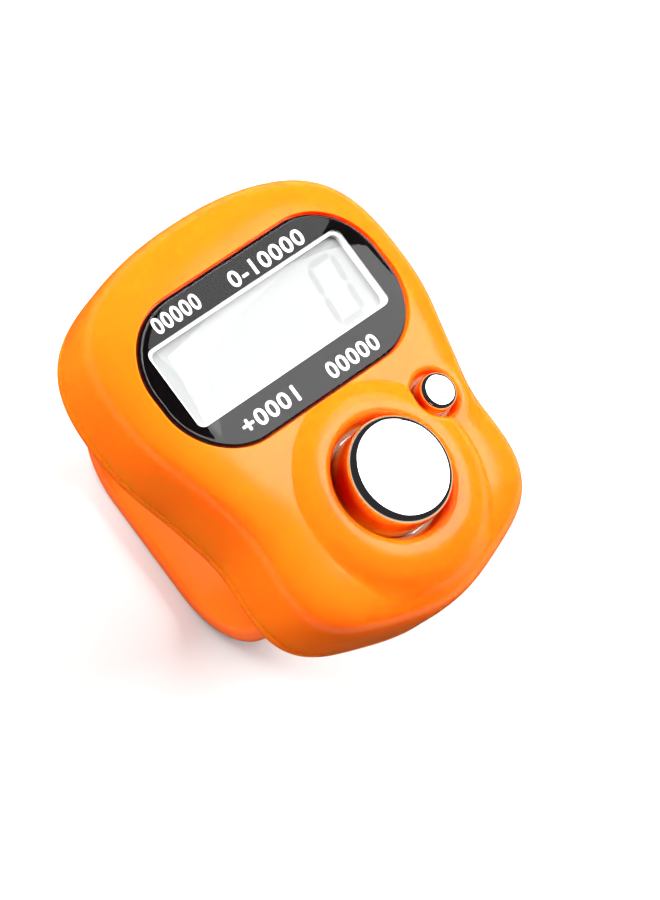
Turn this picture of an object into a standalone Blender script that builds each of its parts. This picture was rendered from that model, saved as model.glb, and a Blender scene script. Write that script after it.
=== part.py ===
"""Digital tally counter worn on a finger: pear-shaped case, display, two chromed keys and a clasped strap.

The strap's flat underside lies on Z = 0, +Y points to the display end and +X follows the display's long side.
Levels are heights above the strap's underside.
"""

import bmesh
import bpy
import math
import numpy as np
from mathutils import Matrix, Vector

MM = 0.001

# Case seen from above: its right half, from the display end down to the key end
BODY_LENGTH = 39.8 * MM
BODY_WIDTH = 32.5 * MM
OUTLINE_SHARES = (
    (0.0, 1.0), (0.44, 0.966), (0.759, 0.868), (0.938, 0.709), (1.0, 0.481), (0.978, 0.199),
    (0.871, -0.105), (0.817, -0.375), (0.835, -0.601), (0.714, -0.814), (0.404, -0.932), (0.0, -1.0),
)
OUTLINE_STEPS = 60

# Levels, upwards from the strap's underside
STRAP_THICKNESS = 1.4 * MM
FINGER_HEIGHT = 18.0 * MM
SADDLE_DEPTH = 1.4 * MM
BASE_DEPTH = 3.4 * MM
SKIRT_HEIGHT = 3.05 * MM
CROWN_RISE = 5.7 * MM
CROWN_TO_DISPLAY = 0.95 * MM
SADDLE_LEVEL = STRAP_THICKNESS + FINGER_HEIGHT
RIM_LEVEL = SADDLE_LEVEL - SADDLE_DEPTH
PARTING_LEVEL = RIM_LEVEL + BASE_DEPTH
BELT_LEVEL = PARTING_LEVEL + SKIRT_HEIGHT
CROWN_LEVEL = BELT_LEVEL + CROWN_RISE
DISPLAY_LEVEL = CROWN_LEVEL - CROWN_TO_DISPLAY

# Case walls and form
WALL = 1.4 * MM
CEILING_WALL = 2.1 * MM
FLOOR_WALL = 1.1 * MM
DRAFT = 0.15 * MM
BASE_ROUND_REACH = 4.2 * MM
BASE_ROUND_HEIGHT = 3.2 * MM
SADDLE_RADIUS = 24.0 * MM
SEAM_GAP = 0.1 * MM
LIP_WALL = 0.8 * MM
LIP_HEIGHT = 1.0 * MM
CROWN_POWER = 4.3
CROWN_STEPS = 8
CAVITY_STEPS = 5
CROWN_FLAT_SHARE = 0.25

# Clearances and cuts
FIT = 0.12 * MM
LAYER_GAP = 0.05 * MM
OVERRUN = 1.5 * MM

# Clear lens, set in from the case's outline, and the window in its printed film
LENS_SIDE_MARGIN = 2.95 * MM
LENS_END_MARGIN = 5.3 * MM
LENS_FROM_MIDDLE = 0.2 * MM
LENS_END_FLAT = 1.6 * MM
WINDOW_SIDE_MARGIN = 2.0 * MM
WINDOW_BAND = 3.25 * MM
WINDOW_RAISE = 0.4 * MM
WINDOW_CORNER = 0.7 * MM
LENS_SINK = 0.08 * MM
FILM_THICKNESS = 0.15 * MM

# Display cell and what holds it
FRAME_WALL = 0.55 * MM
FRAME_LIP = 0.5 * MM
FRAME_LIP_REACH = 0.3 * MM
FRAME_CORNER = 1.3 * MM
GLASS_SIDE_BORDER = 0.2 * MM
GLASS_END_BORDER = 0.4 * MM
GLASS_SIDE_MARGIN = 0.3 * MM
GLASS_LEDGE = 1.7 * MM
GLASS_THICKNESS = 0.55 * MM
POLARISER_THICKNESS = 0.15 * MM
POLARISER_MARGIN = 0.4 * MM
ZEBRA_WIDTH = 1.3 * MM

# Circuit board
BOARD_DEPTH = 4.1 * MM
BOARD_THICKNESS = 0.8 * MM
BOARD_INSET = 2.6 * MM
BLOB_RADIUS = 2.5 * MM
BLOB_HEIGHT = 1.1 * MM
BLOB_X = -4.2 * MM
BLOB_BACK = 0.3 * MM
PASSIVE_SIZE = (1.6 * MM, 0.8 * MM, 0.6 * MM)
PASSIVE_X = 3.4 * MM
CAPACITOR_AHEAD = 1.0 * MM
RESISTOR_BACK = 1.6 * MM

# Count key, its well and the mound round it
LENS_TO_WELL = 3.2 * MM
COUNT_RADIUS = 4.8 * MM
COUNT_PROUD = 3.8 * MM
COUNT_TRAVEL = 0.8 * MM
COUNT_EDGE = 0.3 * MM
COUNT_WALL = 0.7 * MM
COUNT_STEM_RADIUS = 1.7 * MM
COUNT_WELL_RADIUS = 5.4 * MM
COUNT_WELL_DEPTH = 0.3 * MM
COUNT_RIM_RADIUS = 6.0 * MM
COUNT_RIM_RISE = 1.7 * MM
MOUND_RADIUS = 10.2 * MM
MOUND_ROOT = 1.1 * MM

# Reset key and its well
RESET_X = 8.7 * MM
RESET_AHEAD = 3.6 * MM
RESET_RADIUS = 1.7 * MM
RESET_PROUD = 1.9 * MM
RESET_TRAVEL = 0.5 * MM
RESET_EDGE = 0.2 * MM
RESET_WELL_RADIUS = 2.2 * MM
RESET_WELL_DEPTH = 0.2 * MM
RESET_RIM_RADIUS = 2.6 * MM
RESET_RIM_RISE = 1.25 * MM
RESET_MOUND_RADIUS = 3.4 * MM

# What both keys share
KEY_FIT = 0.15 * MM
FLANGE_REACH = 0.55 * MM
FLANGE_THICKNESS = 0.7 * MM
DOME_RADIUS = 2.3 * MM
RESET_DOME_RADIUS = 1.5 * MM
DOME_WALL = 0.3 * MM

# Coin cell, its contacts and its door
CELL_RADIUS = 5.8 * MM
CELL_HEIGHT = 3.05 * MM
CELL_STEP = 0.25 * MM
CELL_CAP_INSET = 0.7 * MM
CONTACT_WIDTH = 2.6 * MM
CONTACT_THICKNESS = 0.15 * MM
DOOR_ROOM = 0.2 * MM
DOOR_THICKNESS = 0.9 * MM
DOOR_RECESS = 0.1 * MM
DOOR_RING_WALL = 0.5 * MM
LUG_REACH = 0.8 * MM
LUG_WIDTH = 2.8 * MM
LUG_HEIGHT = 0.7 * MM
DOOR_TURN_DEG = 60.0
COIN_SLOT_LENGTH = 8.0 * MM
COIN_SLOT_WIDTH = 1.2 * MM
COIN_SLOT_DEPTH = 0.45 * MM
POCKET_WALL = 0.9 * MM

# Screws: case screws from below, board screws up into the cover
CASE_SCREW_ASIDE = 3.1 * MM
CASE_SCREW_DISPLAY_MARGIN = 4.6 * MM
CASE_SCREW_KEY_MARGIN = 8.0 * MM
BOARD_SCREW_SIDE_MARGIN = 6.35 * MM
BOARD_SCREW_BACK = 1.5 * MM
BOARD_SCREW_END_MARGIN = 4.0 * MM
CASE_BOSS_RADIUS = 1.75 * MM
CASE_SHANK_RADIUS = 0.7 * MM
CASE_HEAD_RADIUS = 1.25 * MM
CASE_SCREW_LENGTH = 5.2 * MM
BOARD_BOSS_RADIUS = 1.2 * MM
BOARD_SHANK_RADIUS = 0.5 * MM
BOARD_HEAD_RADIUS = 0.95 * MM
BOARD_SCREW_LENGTH = 2.2 * MM
SCREW_HEAD_HEIGHT = 0.6 * MM
SCREW_CROSS_WIDTH = 0.3 * MM
SCREW_FIT = 0.06 * MM
PILOT_ROOM = 0.2 * MM
POST_ROOT = 0.7 * MM
SCREW_STEPS = 14

# Strap: a long half with holes and a short half with pegs, each on a round bead in the base
STRAP_WIDTH = 12.0 * MM
STRAP_END_MARGIN = 7.9 * MM
STRAP_BEND = 7.0 * MM
STRAP_GAP = 0.15 * MM
STRAP_TIP_CLEARANCE = 0.8 * MM
STRAP_EDGE = 0.3 * MM
BEAD_RADIUS = 1.1 * MM
SOCKET_LIP = 0.75 * MM
SOCKET_WALL = 0.9 * MM
CLASP_LENGTH = 11.5 * MM
CLASP_SWING_DEG = 45.0
PEG_FIRST = 5.0 * MM
PEG_PITCH = 3.5 * MM
PEG_COUNT = 2
PEG_ROOT_RADIUS = 0.75 * MM
PEG_TIP_RADIUS = 0.5 * MM
HOLE_RADIUS = 1.05 * MM
HOLE_COUNT = 5

# Round shapes: sides of large, middle and small circles
LARGE_STEPS = 40
MIDDLE_STEPS = 28
SMALL_STEPS = 20
CORNER_STEPS = 5
KEY_EDGE_STEPS = 3
MERGE = 0.002 * MM

# Places worked out from the sizes above
LENS_TOP = BODY_LENGTH / 2 - LENS_END_MARGIN
LENS_WIDTH = BODY_WIDTH - 2 * LENS_SIDE_MARGIN
LENS_HEIGHT = LENS_TOP - LENS_FROM_MIDDLE
LENS_Y = (LENS_TOP + LENS_FROM_MIDDLE) / 2
LENS_CORNER = (LENS_HEIGHT - LENS_END_FLAT) / 2
WINDOW_WIDTH = LENS_WIDTH - 2 * WINDOW_SIDE_MARGIN
WINDOW_HEIGHT = LENS_HEIGHT - 2 * WINDOW_BAND
WINDOW_Y = LENS_Y + WINDOW_RAISE
GLASS_WIDTH = WINDOW_WIDTH + 2 * GLASS_SIDE_BORDER
REAR_GLASS_HEIGHT = WINDOW_HEIGHT + 2 * GLASS_END_BORDER
COUNT_Y = LENS_FROM_MIDDLE - LENS_TO_WELL - COUNT_WELL_RADIUS
RESET_Y = COUNT_Y + RESET_AHEAD
STRAP_LEG_Y = BODY_LENGTH / 2 - STRAP_END_MARGIN
CASE_SCREW_X = STRAP_WIDTH / 2 + CASE_SCREW_ASIDE
CASE_SCREW_PLACES = (
    (CASE_SCREW_X, BODY_LENGTH / 2 - CASE_SCREW_DISPLAY_MARGIN),
    (CASE_SCREW_X, CASE_SCREW_KEY_MARGIN - BODY_LENGTH / 2),
)
BOARD_SCREW_X = BODY_WIDTH / 2 - BOARD_SCREW_SIDE_MARGIN
BOARD_SCREW_Y = LENS_FROM_MIDDLE - BOARD_SCREW_BACK
BOARD_SCREW_PLACES = (
    (BOARD_SCREW_X, BOARD_SCREW_Y),
    (-BOARD_SCREW_X, BOARD_SCREW_Y),
    (0.0, BODY_LENGTH / 2 - BOARD_SCREW_END_MARGIN),
)
SADDLE_AXIS_LEVEL = SADDLE_LEVEL - SADDLE_RADIUS
DOOR_RADIUS = CELL_RADIUS + DOOR_ROOM + DOOR_RING_WALL
BOARD_TOP = DISPLAY_LEVEL - BOARD_DEPTH
BOARD_BOTTOM = BOARD_TOP - BOARD_THICKNESS
CEILING_LEVEL = CROWN_LEVEL - CEILING_WALL
BEAD_LEVEL = RIM_LEVEL + SOCKET_LIP + BEAD_RADIUS + FIT
CLASP_Y = -(STRAP_LEG_Y + STRAP_THICKNESS + STRAP_GAP)
SOCKET_REACH = BEAD_RADIUS + FIT + SOCKET_WALL
SOCKET_HALF_WIDTH = STRAP_WIDTH / 2 + STRAP_GAP + SOCKET_WALL
DOOR_LOW = SADDLE_LEVEL + DOOR_RECESS
DOOR_HIGH = DOOR_LOW + DOOR_THICKNESS
CELL_LOW = DOOR_HIGH + LAYER_GAP
CELL_HIGH = CELL_LOW + CELL_HEIGHT
LUG_ROOM_TOP = DOOR_HIGH + LUG_HEIGHT + 2 * FIT
CONTACT_SLOT_LOW = LUG_ROOM_TOP + POCKET_WALL
FRAME_TOP = DISPLAY_LEVEL - FILM_THICKNESS - LAYER_GAP
POLARISER_TOP = FRAME_TOP - FRAME_LIP - LAYER_GAP
FRONT_GLASS_TOP = POLARISER_TOP - POLARISER_THICKNESS - LAYER_GAP
REAR_GLASS_TOP = FRONT_GLASS_TOP - GLASS_THICKNESS - LAYER_GAP
REFLECTOR_TOP = REAR_GLASS_TOP - GLASS_THICKNESS - LAYER_GAP
FRONT_GLASS_HEIGHT = REAR_GLASS_HEIGHT + GLASS_LEDGE
FRONT_GLASS_Y = WINDOW_Y - GLASS_LEDGE / 2
FRAME_INNER_WIDTH = GLASS_WIDTH + 2 * FIT
FRAME_INNER_HEIGHT = FRONT_GLASS_HEIGHT + 2 * FIT
FRAME_WIDTH = FRAME_INNER_WIDTH + 2 * FRAME_WALL
FRAME_HEIGHT = FRAME_INNER_HEIGHT + 2 * FRAME_WALL


def clear_scene():
    for obj in list(bpy.data.objects):
        bpy.data.objects.remove(obj, do_unlink=True)


def make_collection(name):
    collection = bpy.data.collections.new(name)
    bpy.context.scene.collection.children.link(collection)
    return collection


def make_material(name, colour, roughness, metallic=0.0, transmission=0.0):
    material = bpy.data.materials.new(name)
    material.use_nodes = True
    shader = material.node_tree.nodes["Principled BSDF"]
    shader.inputs["Base Color"].default_value = (*colour, 1.0)
    shader.inputs["Roughness"].default_value = roughness
    shader.inputs["Metallic"].default_value = metallic
    shader.inputs["Transmission Weight"].default_value = transmission
    material.diffuse_color = (*colour, 1.0)
    return material


clear_scene()
PARTS = make_collection("tally_counter")
CUTTERS = make_collection("cutters")

ORANGE = make_material("moulded_orange", (1.0, 0.27, 0.01), 0.25)
STRAP_ORANGE = make_material("soft_orange", (0.95, 0.22, 0.01), 0.5)
CLEAR = make_material("clear_acrylic", (0.9, 0.92, 0.93), 0.05, transmission=0.9)
BLACK_PRINT = make_material("black_print", (0.012, 0.012, 0.014), 0.4)
WHITE = make_material("white_plastic", (0.86, 0.86, 0.85), 0.4)
GLASS = make_material("display_glass", (0.82, 0.84, 0.83), 0.08)
SILVER_FILM = make_material("silver_film", (0.75, 0.76, 0.75), 0.35, metallic=0.3)
CHROME = make_material("chromed_plastic", (0.9, 0.9, 0.91), 0.06, metallic=1.0)
BOARD_GREEN = make_material("board_green", (0.03, 0.22, 0.09), 0.45)
EPOXY = make_material("black_epoxy", (0.01, 0.01, 0.01), 0.3)
CERAMIC = make_material("tan_ceramic", (0.5, 0.36, 0.22), 0.5)
RUBBER = make_material("grey_rubber", (0.35, 0.35, 0.36), 0.7)
ZEBRA = make_material("striped_rubber", (0.3, 0.3, 0.32), 0.7)
STEEL = make_material("plated_steel", (0.72, 0.72, 0.7), 0.25, metallic=1.0)


def add_object(name, mesh, material=None):
    """Links a mesh as a part, or as a cutter where it has no material."""
    obj = bpy.data.objects.new(name, mesh)
    if material is None:
        CUTTERS.objects.link(obj)
        obj.hide_render = True
        obj.display_type = "WIRE"
    else:
        PARTS.objects.link(obj)
        mesh.materials.append(material)
    return obj


def finish(obj, angle=math.radians(35)):
    """Smooth shading with the sharp edges kept."""
    obj.data.shade_smooth()
    obj.data.set_sharp_from_angle(angle=angle)
    return obj


def mesh_from(name, build):
    """A mesh filled by build(bm), with its normals facing out."""
    mesh = bpy.data.meshes.new(name)
    bm = bmesh.new()
    build(bm)
    bmesh.ops.recalc_face_normals(bm, faces=bm.faces)
    bm.to_mesh(mesh)
    bm.free()
    return mesh


def box(name, low, high, material=None):
    """A block between two corners."""
    low, high = Vector(low), Vector(high)
    place = Matrix.Translation((low + high) / 2) @ Matrix.Diagonal((*(high - low), 1.0))
    mesh = mesh_from(name, lambda bm: bmesh.ops.create_cube(bm, size=1.0, matrix=place))
    return add_object(name, mesh, material)


def cone(name, start, end, radius_start, radius_end, steps, material=None):
    """A closed cylinder or cone from one point to another."""
    start, end = Vector(start), Vector(end)
    turn = Vector((0, 0, 1)).rotation_difference(end - start).to_matrix().to_4x4()
    place = Matrix.Translation((start + end) / 2) @ turn

    def build(bm):
        bmesh.ops.create_cone(
            bm, cap_ends=True, segments=steps, radius1=radius_start, radius2=radius_end,
            depth=(end - start).length, matrix=place,
        )

    return add_object(name, mesh_from(name, build), material)


def rod(name, centre, radius, low, high, steps=SMALL_STEPS, material=None):
    """An upright cylinder at centre (x, y) between two levels."""
    return cone(name, (*centre, low), (*centre, high), radius, radius, steps, material)


def cross_rod(name, place, radius, length, steps, material=None):
    """A cylinder along X, centred at place (y, z)."""
    start, end = (-length / 2, *place), (length / 2, *place)
    return cone(name, start, end, radius, radius, steps, material)


def turned(name, centre, profile, steps, material=None, start=0.0):
    """A profile of (radius, level) points, top to bottom, turned about the upright line at centre."""
    mesh = bpy.data.meshes.new(name)
    points = [(radius, 0, level) for radius, level in profile]
    mesh.from_pydata(points, [(i, i + 1) for i in range(len(points) - 1)], [])
    obj = add_object(name, mesh, material)
    obj.location = (*centre, 0)
    obj.rotation_euler.z = start
    screw = obj.modifiers.new("turn", "SCREW")
    screw.steps = screw.render_steps = steps
    screw.use_merge_vertices = True
    screw.merge_threshold = MERGE
    return bake(obj)


def bake(obj):
    """The object with its modifiers and its place worked into its mesh."""
    bpy.context.view_layer.update()
    graph = bpy.context.evaluated_depsgraph_get()
    mesh = bpy.data.meshes.new_from_object(obj.evaluated_get(graph))
    mesh.transform(obj.matrix_world)
    bm = bmesh.new()
    bm.from_mesh(mesh)
    bmesh.ops.remove_doubles(bm, verts=bm.verts, dist=MERGE)
    bmesh.ops.recalc_face_normals(bm, faces=bm.faces)
    bm.to_mesh(mesh)
    bm.free()
    mesh.name = obj.name
    obj.modifiers.clear()
    obj.data = mesh
    obj.matrix_world = Matrix.Identity(4)
    return obj


def plate(name, outlines, low, high, material=None):
    """A flat piece between two levels. Outlines after the first are its holes."""
    curve = bpy.data.curves.new(name, "CURVE")
    curve.dimensions = "2D"
    curve.fill_mode = "BOTH"
    curve.extrude = (high - low) / 2
    for outline in outlines:
        spline = curve.splines.new("POLY")
        spline.points.add(len(outline) - 1)
        for point, (x, y) in zip(spline.points, outline):
            point.co = (x, y, 0, 1)
        spline.use_cyclic_u = True
    guide = bpy.data.objects.new(name + "_guide", curve)
    CUTTERS.objects.link(guide)
    bpy.context.view_layer.update()
    graph = bpy.context.evaluated_depsgraph_get()
    mesh = bpy.data.meshes.new_from_object(guide.evaluated_get(graph))
    bpy.data.objects.remove(guide)
    bm = bmesh.new()
    bm.from_mesh(mesh)
    bmesh.ops.remove_doubles(bm, verts=bm.verts, dist=MERGE)
    bmesh.ops.recalc_face_normals(bm, faces=bm.faces)
    bmesh.ops.translate(bm, verts=bm.verts, vec=(0, 0, (low + high) / 2))
    bm.to_mesh(mesh)
    bm.free()
    mesh.name = name
    mesh.materials.clear()
    return add_object(name, mesh, material)


def boolean(target, tools, operation):
    for tool in tools:
        modifier = target.modifiers.new(f"{operation.lower()} {tool.name}", "BOOLEAN")
        modifier.operation = operation
        modifier.solver = "EXACT"
        modifier.object = tool
    return target


def cut(target, *tools):
    return boolean(target, tools, "DIFFERENCE")


def join(target, *tools):
    return boolean(target, tools, "UNION")


def bevel(obj, width, segments=2):
    modifier = obj.modifiers.new("edge", "BEVEL")
    modifier.width = width
    modifier.segments = segments
    modifier.limit_method = "ANGLE"
    return obj


def rounded_rectangle(width, height, corner, centre_y):
    """Points of a rectangle with round corners, counter-clockwise."""
    points = []
    for index, (side_x, side_y) in enumerate(((1, 1), (-1, 1), (-1, -1), (1, -1))):
        angles = math.radians(90 * index) + np.linspace(0, math.pi / 2, CORNER_STEPS + 1)
        x = side_x * (width / 2 - corner) + corner * np.cos(angles)
        y = centre_y + side_y * (height / 2 - corner) + corner * np.sin(angles)
        points.append(np.column_stack([x, y]))
    return np.concatenate(points)


def arc(centre, radius, start_deg, end_deg, steps):
    """Points (u, v) of an arc about centre, from one angle to the other."""
    angles = np.radians(np.linspace(start_deg, end_deg, steps + 1))
    return [(centre[0] + radius * math.cos(a), centre[1] + radius * math.sin(a)) for a in angles]


def smooth_outline():
    """The whole case outline: a Catmull-Rom curve through the shares, at equal steps, counter-clockwise."""
    right = np.array(OUTLINE_SHARES) * (BODY_WIDTH / 2, BODY_LENGTH / 2)
    mirrored = right * (-1, 1)
    knots = np.concatenate([mirrored[1:2], right, mirrored[-2:-1]])
    before, start, end, after = knots[:-3], knots[1:-2], knots[2:-1], knots[3:]
    along = np.linspace(0, 1, OUTLINE_STEPS, endpoint=False)[:, None, None]
    curve = (
        2 * start + (end - before) * along
        + (2 * before - 5 * start + 4 * end - after) * along**2
        + (3 * start - before - 3 * end + after) * along**3
    ) / 2
    curve = np.concatenate([curve.transpose(1, 0, 2).reshape(-1, 2), right[-1:]])
    travelled = np.concatenate([[0], np.cumsum(np.linalg.norm(np.diff(curve, axis=0), axis=1))])
    wanted = np.linspace(0, travelled[-1], OUTLINE_STEPS // 2 + 1)
    half = np.column_stack([np.interp(wanted, travelled, curve[:, axis]) for axis in (0, 1)])
    return np.concatenate([half * (-1, 1), half[::-1][1:-1]])


OUTLINE = smooth_outline()
TANGENT = np.roll(OUTLINE, -1, axis=0) - np.roll(OUTLINE, 1, axis=0)
INWARD = np.column_stack([-TANGENT[:, 1], TANGENT[:, 0]])
INWARD /= np.linalg.norm(INWARD, axis=1)[:, None]


def case_ring(inset, level, scale=1.0):
    """One ring of the case at a level, moved in by inset and scaled about the middle."""
    flat = (OUTLINE + INWARD * inset) * scale
    return np.column_stack([flat, np.full(len(flat), level)])


def loft(name, rings, material=None):
    """A closed body through rings of equal count, lowest first, with flat ends."""
    count = len(rings[0])
    points = np.concatenate(rings)
    step = np.arange(count)
    ahead = (step + 1) % count
    faces = []
    for level in range(len(rings) - 1):
        low, high = level * count, (level + 1) * count
        faces += np.column_stack([low + step, low + ahead, high + ahead, high + step]).tolist()
    faces.append(step[::-1].tolist())
    faces.append((len(points) - count + step).tolist())
    mesh = bpy.data.meshes.new(name)
    mesh.from_pydata(points.tolist(), [], faces)
    return add_object(name, mesh, material)


def crown_rings(inset, rise, steps):
    """Rings from the belt up over the crown: each is smaller and higher, on a superellipse."""
    along = np.linspace(0, 1, steps + 1)
    scales = 1 - (1 - CROWN_FLAT_SHARE) * along**2
    heights = (1 - scales**CROWN_POWER) ** (1 / CROWN_POWER)
    return [case_ring(inset, BELT_LEVEL + rise * h, s) for s, h in zip(scales, heights)]


def crown_height(x, y):
    """Level of the crown above a point, from the share of the outline's reach in that direction."""
    angles = np.arctan2(OUTLINE[:, 1], OUTLINE[:, 0])
    order = np.argsort(angles)
    reach = np.interp(math.atan2(y, x), angles[order], np.linalg.norm(OUTLINE, axis=1)[order])
    share = min(math.hypot(x, y) / reach, 1.0)
    return BELT_LEVEL + CROWN_RISE * (1 - share**CROWN_POWER) ** (1 / CROWN_POWER)


def both_sides(places):
    return [(side * x, y) for x, y in places for side in (1, -1)]


def well_tools(name, centre, key_radius, well_radius, well_depth):
    """The wide well, the narrower hole that a key moves in, and the flat seat of its flange."""
    floor = DISPLAY_LEVEL - well_depth
    top = CROWN_LEVEL + COUNT_PROUD
    well = rod(name + "_well_cut", centre, well_radius, floor, top, LARGE_STEPS)
    hole = rod(name + "_hole_cut", centre, key_radius + KEY_FIT, CEILING_LEVEL - OVERRUN, top, LARGE_STEPS)
    seat = rod(name + "_seat_cut", centre, key_radius + FLANGE_REACH + KEY_FIT, BOARD_TOP, CEILING_LEVEL,
               LARGE_STEPS)
    return well, hole, seat


def mound(name, centre, rim_radius, rim_rise, foot_radius, foot_drop, lip_radius):
    """A round mound: flat inside its rim, then a quarter ellipse falling to its foot inside the case."""
    rim, foot = DISPLAY_LEVEL + rim_rise, DISPLAY_LEVEL - foot_drop
    swell = [
        (rim_radius + (foot_radius - rim_radius) * math.sin(a), foot + (rim - foot) * math.cos(a))
        for a in np.linspace(0, math.pi / 2, CORNER_STEPS + 2)
    ]
    edge = rim_radius - lip_radius + FIT
    lip = [(rim_radius - edge * math.cos(a), rim - edge * (1 - math.sin(a)))
           for a in np.linspace(0, math.pi / 2, CORNER_STEPS)]
    inner = [(0, lip[0][1]), *lip[:-1]]
    half_step = math.pi / LARGE_STEPS
    return turned(name, centre, inner + swell + [(0, foot)], LARGE_STEPS, start=half_step)


def socket_blocks(name, clearance):
    """Blocks round the strap's two sockets, larger all round by the clearance."""
    half = SOCKET_HALF_WIDTH + clearance
    reach = SOCKET_REACH + clearance
    low, high = RIM_LEVEL + FLOOR_WALL / 2, BEAD_LEVEL + reach
    return [
        box(f"{name}_{index}", (-half, y - reach, low), (half, y + reach, high))
        for index, y in enumerate((STRAP_LEG_Y, CLASP_Y))
    ]


def top_shell():
    """Cover: crown, skirt, display recess, key wells with their mounds, and the bosses inside."""
    skirt = [case_ring(DRAFT, PARTING_LEVEL)]
    shell = loft("top_shell", skirt + crown_rings(0, CROWN_RISE, CROWN_STEPS), ORANGE)
    join(
        shell,
        mound("count_mound", (0, COUNT_Y), COUNT_RIM_RADIUS, COUNT_RIM_RISE, MOUND_RADIUS, MOUND_ROOT,
              COUNT_WELL_RADIUS),
        mound("reset_mound", (RESET_X, RESET_Y), RESET_RIM_RADIUS, RESET_RIM_RISE, RESET_MOUND_RADIUS,
              MOUND_ROOT, RESET_WELL_RADIUS),
    )
    inner_skirt = [case_ring(DRAFT + WALL, PARTING_LEVEL - OVERRUN), case_ring(WALL, BELT_LEVEL)]
    ceiling = crown_rings(WALL, CROWN_RISE - CEILING_WALL, CAVITY_STEPS)
    cavity = loft("cover_cavity", inner_skirt + ceiling[1:])
    recess = plate(
        "lens_recess",
        [rounded_rectangle(LENS_WIDTH + 2 * FIT, LENS_HEIGHT + 2 * FIT, LENS_CORNER + FIT, LENS_Y)],
        FRAME_TOP, CROWN_LEVEL + OVERRUN,
    )
    frame_hole = plate(
        "frame_hole",
        [rounded_rectangle(FRAME_WIDTH + 2 * FIT, FRAME_HEIGHT + 2 * FIT, FRAME_CORNER + FIT,
                           FRONT_GLASS_Y)],
        CEILING_LEVEL - OVERRUN, FRAME_TOP + LAYER_GAP,
    )
    cut(shell, cavity)
    for index, place in enumerate(both_sides(CASE_SCREW_PLACES)):
        outermost = np.array(place) * (1 + CASE_BOSS_RADIUS / math.hypot(*place))
        roof = crown_height(*outermost) - POST_ROOT
        join(shell, rod(f"case_boss_{index}", place, CASE_BOSS_RADIUS, PARTING_LEVEL + SEAM_GAP, roof))
    cut(shell, *socket_blocks("socket_room", FIT))
    for index, place in enumerate(BOARD_SCREW_PLACES):
        roof = CEILING_LEVEL + POST_ROOT
        join(shell, rod(f"board_boss_{index}", place, BOARD_BOSS_RADIUS, BOARD_TOP + LAYER_GAP, roof))
    cut(shell, recess, frame_hole)
    cut(shell, *well_tools("count", (0, COUNT_Y), COUNT_RADIUS, COUNT_WELL_RADIUS, COUNT_WELL_DEPTH))
    cut(shell, *well_tools("reset", (RESET_X, RESET_Y), RESET_RADIUS, RESET_WELL_RADIUS, RESET_WELL_DEPTH))
    for index, place in enumerate(both_sides(CASE_SCREW_PLACES)):
        top = case_screw_top() + PILOT_ROOM
        hole = rod(f"case_pilot_{index}", place, CASE_SHANK_RADIUS + SCREW_FIT, PARTING_LEVEL - OVERRUN, top,
                   SCREW_STEPS)
        cut(shell, hole)
    for index, place in enumerate(BOARD_SCREW_PLACES):
        top = board_screw_top() + SCREW_FIT
        hole = rod(f"board_pilot_{index}", place, BOARD_SHANK_RADIUS + SCREW_FIT, BOARD_BOTTOM, top,
                   SCREW_STEPS)
        cut(shell, hole)
    return finish(shell)


def case_screw_head_level():
    """Underside of the case screws' counterbores in the base."""
    return RIM_LEVEL + BASE_DEPTH / 2


def case_screw_top():
    return case_screw_head_level() + CASE_SCREW_LENGTH


def board_screw_top():
    return BOARD_BOTTOM - LAYER_GAP + BOARD_SCREW_LENGTH


def base_rings(inset, floor, top, reach, height):
    """Rings of the base: a lower edge rounded to an ellipse, then the drafted wall."""
    angles = np.linspace(math.pi / 2, 0, CORNER_STEPS + 1)
    rings = [
        case_ring(DRAFT + inset + reach * (1 - math.cos(a)), floor + height * (1 - math.sin(a)))
        for a in angles
    ]
    return rings + [case_ring(DRAFT + inset, top)]


def mouth(name, y, swing_deg, side):
    """The slot below a bead's socket: upright inside, leaning out by the swing towards side."""
    drop = BEAD_LEVEL - RIM_LEVEL + OVERRUN
    half = STRAP_THICKNESS / 2 + STRAP_GAP
    lean = math.radians(swing_deg)
    near = half / math.cos(lean)
    far = near + drop * math.tan(lean)
    section = [(-half, 0), (-half, -drop), (far, -drop), (near, 0)]
    outline = [(y + side * u, BEAD_LEVEL + v) for u, v in section]
    width = STRAP_WIDTH + 2 * STRAP_GAP
    rings = [np.array([(x, v, w) for v, w in outline]) for x in (-width / 2, width / 2)]

    def build(bm):
        ends = [[bm.verts.new(point) for point in ring] for ring in rings]
        for ring in ends:
            bm.faces.new(ring)
        for i in range(len(outline)):
            j = (i + 1) % len(outline)
            bm.faces.new((ends[0][i], ends[0][j], ends[1][j], ends[1][i]))

    return add_object(name, mesh_from(name, build))


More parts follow.
